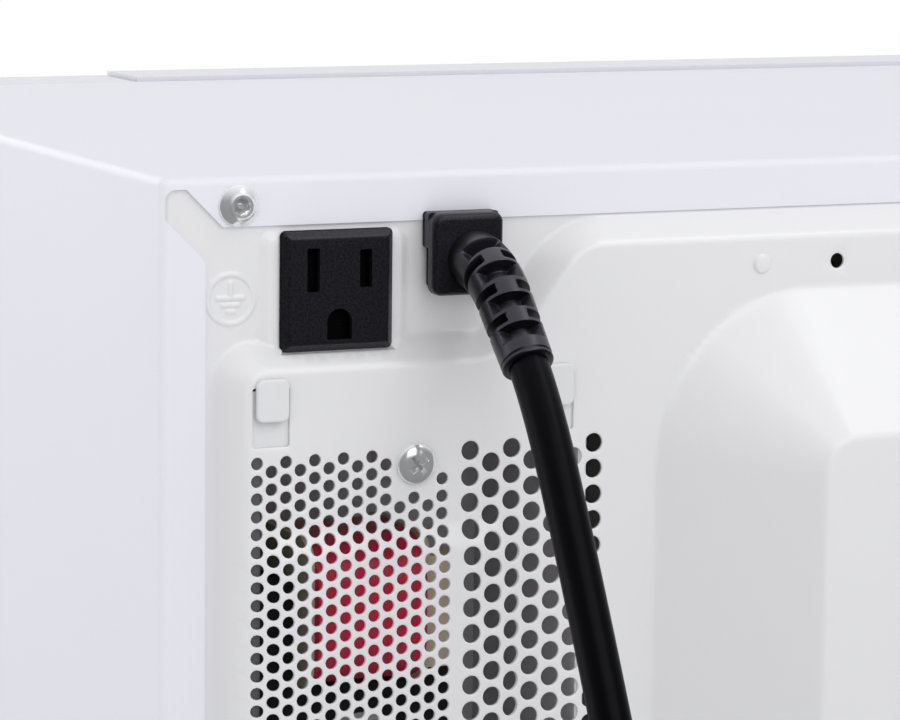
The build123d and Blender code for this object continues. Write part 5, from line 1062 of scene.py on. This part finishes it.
def coil_points(end):
    """Control points of the put-away coil: it winds in, climbs one layer at half its turns and winds out.

    The radius falls by one pitch a turn and grows again. A turn has sixteen points, and they stand outside
    the line by the factor that the smooth curve cuts inside them.
    """
    size = bpy.context.scene.oven_sizes
    turns, pitch, layer, per_turn = 2.5, 9.8 * MM, 9.7 * MM, 16
    turn = np.linspace(0, turns, int(turns * per_turn) + 1)
    inward = turns / 2
    radius = size.coil_radius - pitch * np.where(turn <= inward, turn, 2 * inward - turn)
    radius[1:-1] /= cos(pi / per_turn)
    climb = np.clip((turn - inward + 0.25) / 0.5, 0, 1)
    height = end[2] + layer * (1 - np.cos(pi * climb)) / 2
    angle = pi / 2 + 2 * pi * turn
    middle_x = end[0] - 2 * size.cord_radius
    middle_y = end[1] - size.coil_radius
    return np.stack([middle_x + radius * np.cos(angle), middle_y + radius * np.sin(angle), height], axis=1)


def cord_route():
    """Control points of the whole cord: out of the strain relief, down to the worktop and round the coil."""
    start, heading, _ = (part[0] for part in boot_line(np.array([BOOT_LONG])))
    x = SIDE_X - BOOT_U
    floor = 4.7 * MM
    drop = [
        (x, REAR_Y + 66.9 * MM, 167.5 * MM),
        (x - 0.3 * MM, REAR_Y + 83.2 * MM, 135.4 * MM),
        (x - 2.3 * MM, REAR_Y + 97.5 * MM, 101.0 * MM),
        (x - 7.3 * MM, REAR_Y + 111.5 * MM, 66.0 * MM),
        (x - 19.3 * MM, REAR_Y + 125.5 * MM, 38.0 * MM),
        (x - 44.3 * MM, REAR_Y + 137.5 * MM, 12.0 * MM),
        (x - 81.3 * MM, REAR_Y + 142.5 * MM, floor),
        (x - 114.3 * MM, REAR_Y + 142.5 * MM, floor),
    ]
    coil = coil_points(drop[-1])
    plug = coil[-1] + np.array([32 * MM, 0, 0])
    return np.concatenate([[start, start + heading * 12 * MM], drop, coil, [plug]])


class CORD_OT_cord(bpy.types.Operator):
    """Lay the mains cord from its strain relief to its plug"""

    bl_idname = "oven.cord"
    bl_label = "Mains cord"

    def execute(self, context):
        route = cord_route()
        jacket = tuple(context.scene.oven_colours.jacket)
        curve = bpy.data.curves.new("mains_flex", "CURVE")
        curve.dimensions = "3D"
        curve.bevel_depth = context.scene.oven_sizes.cord_radius
        curve.bevel_resolution = 8
        curve.resolution_u = 10
        curve.use_fill_caps = True
        spline = curve.splines.new("NURBS")
        spline.points.add(len(route) - 1)
        spline.points.foreach_set("co", np.column_stack([route, np.ones(len(route))]).ravel())
        spline.order_u = 3
        spline.use_endpoint_u = True
        curve.materials.append(finish("black_rubber"))
        flex = bpy.data.objects.new("mains_flex", curve)
        context.scene.collection.objects.link(flex)
        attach(flex, "oven")
        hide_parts("mains_cord", "cord_coil")
        boot = add_piece("strain_relief", boot_mesh(), "oven", "black_rubber", 50.0, ("cord_boot",))
        boot.data.materials[0] = rubber("finish_strain_relief", jacket, 0.36, 1.0).material
        return {"FINISHED"}


# Windings and springs

def wound_ring(middle, half_long, inner, outer, corner, wire, corner_points=8):
    """Wire wound round a leg that lies along X: the section's outside is a row of half-round turns.

    The ring follows a rectangle with round corners. Inner holds its half sizes in Y and Z, and outer is the
    winding's half size in Z.
    """
    turns = int(2 * half_long / wire)
    swell = 0.35 * wire
    x = np.linspace(-half_long, half_long, turns * 4 + 1)
    across = np.concatenate([x, x[[-1, 0]]])
    turn = np.abs(np.sin(pi * (x + half_long) / wire))
    lift = np.concatenate([outer - inner[1] - swell + swell * turn, [0, 0]])
    quarter = np.repeat(np.arange(4), corner_points)
    angle = quarter * pi / 2 + np.tile(np.linspace(0, pi / 2, corner_points), 4)
    mid_y = np.where((quarter == 0) | (quarter == 3), 1, -1) * (inner[0] - corner)
    mid_z = np.where(quarter < 2, 1, -1) * (inner[1] - corner)
    reach = corner + lift[None, :]
    y = mid_y[:, None] + reach * np.cos(angle)[:, None]
    z = mid_z[:, None] + reach * np.sin(angle)[:, None]
    points = np.stack([np.broadcast_to(across, y.shape), y, z], axis=-1) + np.asarray(middle)
    return hoop_mesh(points[::-1])


def upright_winding(middle, z0, z1, half_x, half_y):
    """Winding round an upright leg: the level ring of wound_ring stood on end."""
    leg = half_x / 2 + 0.45 * MM
    deep = half_y - (half_x - leg)
    points, faces = wound_ring((0, 0, 0), (z1 - z0) / 2, (leg, deep), half_y, 0.5 * MM, 0.8 * MM, 6)
    return points[:, [1, 2, 0]] + np.array([middle[0], middle[1], (z0 + z1) / 2]), faces


def coil_box(name):
    """Middle and half sizes of a solid winding."""
    low, high = (np.array(corner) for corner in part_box(name))
    return (low + high) / 2, (high - low) / 2


class INSIDE_OT_windings(bpy.types.Operator):
    """Wind the fan motor's red coil and the transformer's two windings"""

    bl_idname = "oven.windings"
    bl_label = "Windings"

    def execute(self, context):
        middle, half = coil_box("fan_motor_coil")
        red = wound_ring(middle, half[0], (10.3 * MM, 7.3 * MM), half[2], 1.5 * MM, 0.42 * MM)
        add_piece("motor_winding", red, "oven", "red_winding", 60.0, ("fan_motor_coil",))
        middle, half = coil_box("transformer_windings")
        low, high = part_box("transformer_windings")
        split, apart = low.z + (high.z - low.z) * 0.4, 1 * MM
        spans = ((low.z, split - apart), (split + apart, high.z))
        rings = [upright_winding(middle, z0, z1, half[0], half[1]) for z0, z1 in spans]
        add_piece("transformer_coils", merged(*rings), "oven", "winding", 60.0, ("transformer_windings",))
        return {"FINISHED"}


def helix(start, along, length, radius, wire, turns):
    """Coil spring: a circle carried round and along its axis, with its end turns closed up."""
    along = np.asarray(along, float)
    side = np.array([0.0, 0.0, 1.0]) if abs(along[2]) < 0.5 else np.array([1.0, 0.0, 0.0])
    other = np.cross(along, side)
    share = np.linspace(0, turns, turns * 20 + 1)
    closed = np.clip(share, 0, 1) + np.clip(share - (turns - 1), 0, 1)
    rise = wire * closed + (length - 3 * wire) * np.clip((share - 1) / (turns - 2), 0, 1) + wire / 2
    angle = 2 * pi * share
    out = np.cos(angle)[:, None] * side + np.sin(angle)[:, None] * other
    line = np.asarray(start) + rise[:, None] * along + radius * out
    return swept(line, out, wire / 2, 8)


class INSIDE_OT_springs(bpy.types.Operator):
    """Make the latch spring and the button spring"""

    bl_idname = "oven.springs"
    bl_label = "Springs"

    def execute(self, context):
        wire, turns = 0.7 * MM, 8
        low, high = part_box("latch_spring")
        middle = ((low.x + high.x) / 2, (low.y + high.y) / 2, high.z)
        coil = helix(middle, (0, 0, -1), high.z - low.z, 2.35 * MM, wire, turns)
        spring = add_piece("latch_coil_spring", coil, "door", "spring_steel", 60.0, ("latch_spring",))
        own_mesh(spring)
        low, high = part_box("button_spring")
        middle = ((low.x + high.x) / 2, high.y, (low.z + high.z) / 2)
        coil = helix(middle, (0, -1, 0), high.y - low.y, 3.6 * MM, wire, turns)
        spring = add_piece("button_coil_spring", coil, "oven", "spring_steel", 60.0, ("button_spring",))
        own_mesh(spring)
        return {"FINISHED"}


# Keypad

def letter_mesh(text, size, thick):
    """Points and faces of a word, centred on the origin and lying flat."""
    curve = bpy.data.curves.new("letters", "FONT")
    curve.body = text
    curve.size = size
    curve.extrude = thick
    curve.align_x = "CENTER"
    curve.align_y = "CENTER"
    holder = bpy.data.objects.new("letters", curve)
    mesh = bpy.data.meshes.new_from_object(holder)
    points = np.zeros(len(mesh.vertices) * 3)
    mesh.vertices.foreach_get("co", points)
    faces = [list(face.vertices) for face in mesh.polygons]
    bpy.data.objects.remove(holder)
    bpy.data.curves.remove(curve)
    bpy.data.meshes.remove(mesh)
    return points.reshape(-1, 3), faces


def key_outline(wide, tall, corner, line, thick):
    """Raised line round a key: the space between two rectangles with round corners."""
    rings = []
    for out, level in ((0, -thick), (0, thick), (-line, thick), (-line, -thick)):
        ring = round_rectangle(grown((-wide / 2, wide / 2, -tall / 2, tall / 2), out), corner + out, 5)
        rings.append(np.column_stack([ring[:, 0], -ring[:, 1], np.full(len(ring), level)]))
    return hoop_mesh(np.stack(rings))


def slab_of(outline, thick):
    """Flat shape of even thickness from its counter-clockwise outline."""
    count = len(outline)
    low = np.arange(count)
    high = low + count
    faces = [low[::-1].tolist(), high.tolist(), *walls(high, low)]
    level = np.full(count, thick)
    points = [np.column_stack([outline, -level]), np.column_stack([outline, level])]
    return np.concatenate(points), faces


def on_front(mesh_data, x, y, z):
    """A flat mesh stood up to face the front at a place."""
    points, faces = mesh_data
    stood = np.stack([x + points[:, 0], y - points[:, 2], z + points[:, 1]], axis=1)
    return stood, faces


class FRONT_OT_keypad(bpy.types.Operator):
    """Print the keys and their numbers on the keypad"""

    bl_idname = "oven.keypad"
    bl_label = "Keypad print"

    def execute(self, context):
        low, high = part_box("keypad_overlay")
        thick = 0.02 * MM
        columns = [(low.x + high.x) / 2 + (column - 1) * 22 * MM for column in range(3)]
        key = key_outline(18 * MM, 14 * MM, 3 * MM, 0.35 * MM, thick)
        signs = {
            "<": slab_of(np.array([[-2.4, -2.4], [2.4, -2.4], [2.4, 2.4], [-2.4, 2.4]]) * MM, thick),
            ">": slab_of(np.array([[-2.2, -2.8], [2.8, 0], [-2.2, 2.8]]) * MM, thick),
        }
        rows = ((16, "   "), (42, "123"), (61, "456"), (80, "789"), (99, "<0>"))
        marks, keys = [], []
        for drop, row in rows:
            for x, sign in zip(columns, row):
                keys.append(on_front(key, x, low.y, high.z - drop * MM))
                if sign != " ":
                    mark = signs.get(sign) or letter_mesh(sign, 8 * MM, thick)
                    marks.append(on_front(mark, x, low.y, high.z - drop * MM))
        add_piece("key_print", merged(*marks, *keys), "oven", "black_plastic", 30.0)
        return {"FINISHED"}


# Finishes of the solid parts

class OVEN_OT_finishes(bpy.types.Operator):
    """Give every solid part its finish"""

    bl_idname = "oven.finishes"
    bl_label = "Finishes"

    def execute(self, context):
        for part in frame["record"]["subparts"]:
            node = frame["nodes"][part["node"]]
            for slot in node.material_slots:
                slot.material = finish(part["material_slot"])
        return {"FINISHED"}


# Studio

def lamp(name, place, target, size, power):
    """Rectangular soft light at a place, turned to a target."""
    data = bpy.data.lights.new(name, "AREA")
    data.shape = "RECTANGLE"
    data.size, data.size_y = size
    data.energy = power
    light = bpy.data.objects.new(name, data)
    bpy.context.scene.collection.objects.link(light)
    light.location = place
    light.rotation_mode = "QUATERNION"
    light.rotation_quaternion = (Vector(target) - Vector(place)).to_track_quat("-Z", "Y")


def surroundings(strength):
    """Plain surroundings: white to the camera and through glass, brighter below than above to matt finishes.

    Gloss sees a room that is bright over the front and dark at the rear.
    """
    world = bpy.data.worlds.new("studio")
    bpy.context.scene.world = world
    world.use_nodes = True
    sky = Nodes(world.node_tree)
    ray = sky.node("ShaderNodeLightPath", output="Is Camera Ray")
    _, y, z = sky.axes(sky.node("ShaderNodeTexCoord", output="Generated"))
    room = sky.between(z - y * 0.9, 0.03, 1.0, -0.1, 1.0)
    soft = sky.between(z, 1.15 * strength, 0.7 * strength)
    lit = sky.between(ray.other("Is Glossy Ray"), soft, room)
    seen = ray.math("MAXIMUM", ray.other("Is Transmission Ray"))
    shell = world.node_tree.nodes["Background"].inputs
    shell["Color"].default_value = (1, 1, 1, 1)
    sky.feed(shell["Strength"], sky.between(seen, lit, 1.0))


def camera():
    """Camera behind the control side, where the photograph was taken from."""
    place = (0.5213, 0.9475, 0.3420)
    heading, pitch, roll = radians(180 - 24.545), radians(8.196), radians(0.633)
    data = bpy.data.cameras.new("camera")
    data.sensor_width = 36.0
    data.lens = 159.04
    data.clip_start = 0.05
    eye = bpy.data.objects.new("camera", data)
    bpy.context.scene.collection.objects.link(eye)
    turn = Matrix.Rotation(heading, 4, "Z") @ Matrix.Rotation(pi / 2 - pitch, 4, "X")
    eye.matrix_world = Matrix.Translation(place) @ turn @ Matrix.Rotation(roll, 4, "Z")
    bpy.context.scene.camera = eye


def studio_floor(half):
    """Square floor that gloss doesn't see."""
    mesh = bpy.data.meshes.new("floor")
    corners = [(-half, -half, 0), (half, -half, 0), (half, half, 0), (-half, half, 0)]
    mesh.from_pydata(corners, [], [(0, 1, 2, 3)])
    mesh.materials.append(Finish("studio_floor", (0.75, 0.75, 0.75), 0.6).material)
    floor = bpy.data.objects.new("floor", mesh)
    bpy.context.scene.collection.objects.link(floor)
    floor.visible_glossy = False
    return floor


class STAGE_OT_studio(bpy.types.Operator):
    """Set up the camera, floor, surroundings and lights"""

    bl_idname = "oven.studio"
    bl_label = "Studio"

    def execute(self, context):
        levels = context.scene.studio_levels
        context.scene.view_settings.view_transform = "Standard"
        camera()
        surroundings(levels.world)
        floor = studio_floor(1.2)
        lamp("key", (-0.96, 1.01, 2.19), (0.03, 0.14, 0.19), (0.8, 0.8), levels.key)
        lamp("fill", (-0.1, 2.06, 1.5), (0.1, 0.14, 0.15), (2.0, 1.6), levels.fill)
        lamp("side", (1.5, -0.6, 0.35), (0.2, 0, 0.15), (0.9, 0.9), levels.side)
        lamp("front", (0.5, -1.9, 0.7), (0, -0.1, 0.12), (1.0, 1.0), levels.front)
        return {"FINISHED"}


class VIEW3D_PT_oven(bpy.types.Panel):
    """Lists the oven's steps and sizes"""

    bl_label = "Microwave oven"
    bl_idname = "VIEW3D_PT_oven"
    bl_space_type = "VIEW_3D"
    bl_region_type = "UI"
    bl_category = "Microwave"

    def draw(self, context):
        layout = self.layout
        for step in STEPS:
            layout.operator(step.bl_idname)
        for group in (context.scene.oven_sizes, context.scene.oven_colours, context.scene.studio_levels):
            for name in group.bl_rna.properties.keys():
                if name not in ("rna_type", "name"):
                    layout.prop(group, name)


GROUPS = (OvenSizes, OvenColours, StudioLevels)
STEPS = (STAGE_OT_studio, CORD_OT_cord, REAR_OT_panel, REAR_OT_outlet, REAR_OT_screws, INSIDE_OT_windings,
         INSIDE_OT_springs, FRONT_OT_keypad, OVEN_OT_finishes)


def register():
    for made in (*GROUPS, *STEPS, VIEW3D_PT_oven):
        bpy.utils.register_class(made)
    bpy.types.Scene.oven_sizes = PointerProperty(type=OvenSizes)
    bpy.types.Scene.oven_colours = PointerProperty(type=OvenColours)
    bpy.types.Scene.studio_levels = PointerProperty(type=StudioLevels)


def unregister():
    del bpy.types.Scene.studio_levels
    del bpy.types.Scene.oven_colours
    del bpy.types.Scene.oven_sizes
    for made in reversed((*GROUPS, *STEPS, VIEW3D_PT_oven)):
        bpy.utils.unregister_class(made)


def main():
    """Runs every step in order."""
    register()
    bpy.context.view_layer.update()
    for step in STEPS:
        group, name = step.bl_idname.split(".")
        getattr(getattr(bpy.ops, group), name)()


if __name__ == "__main__":
    main()
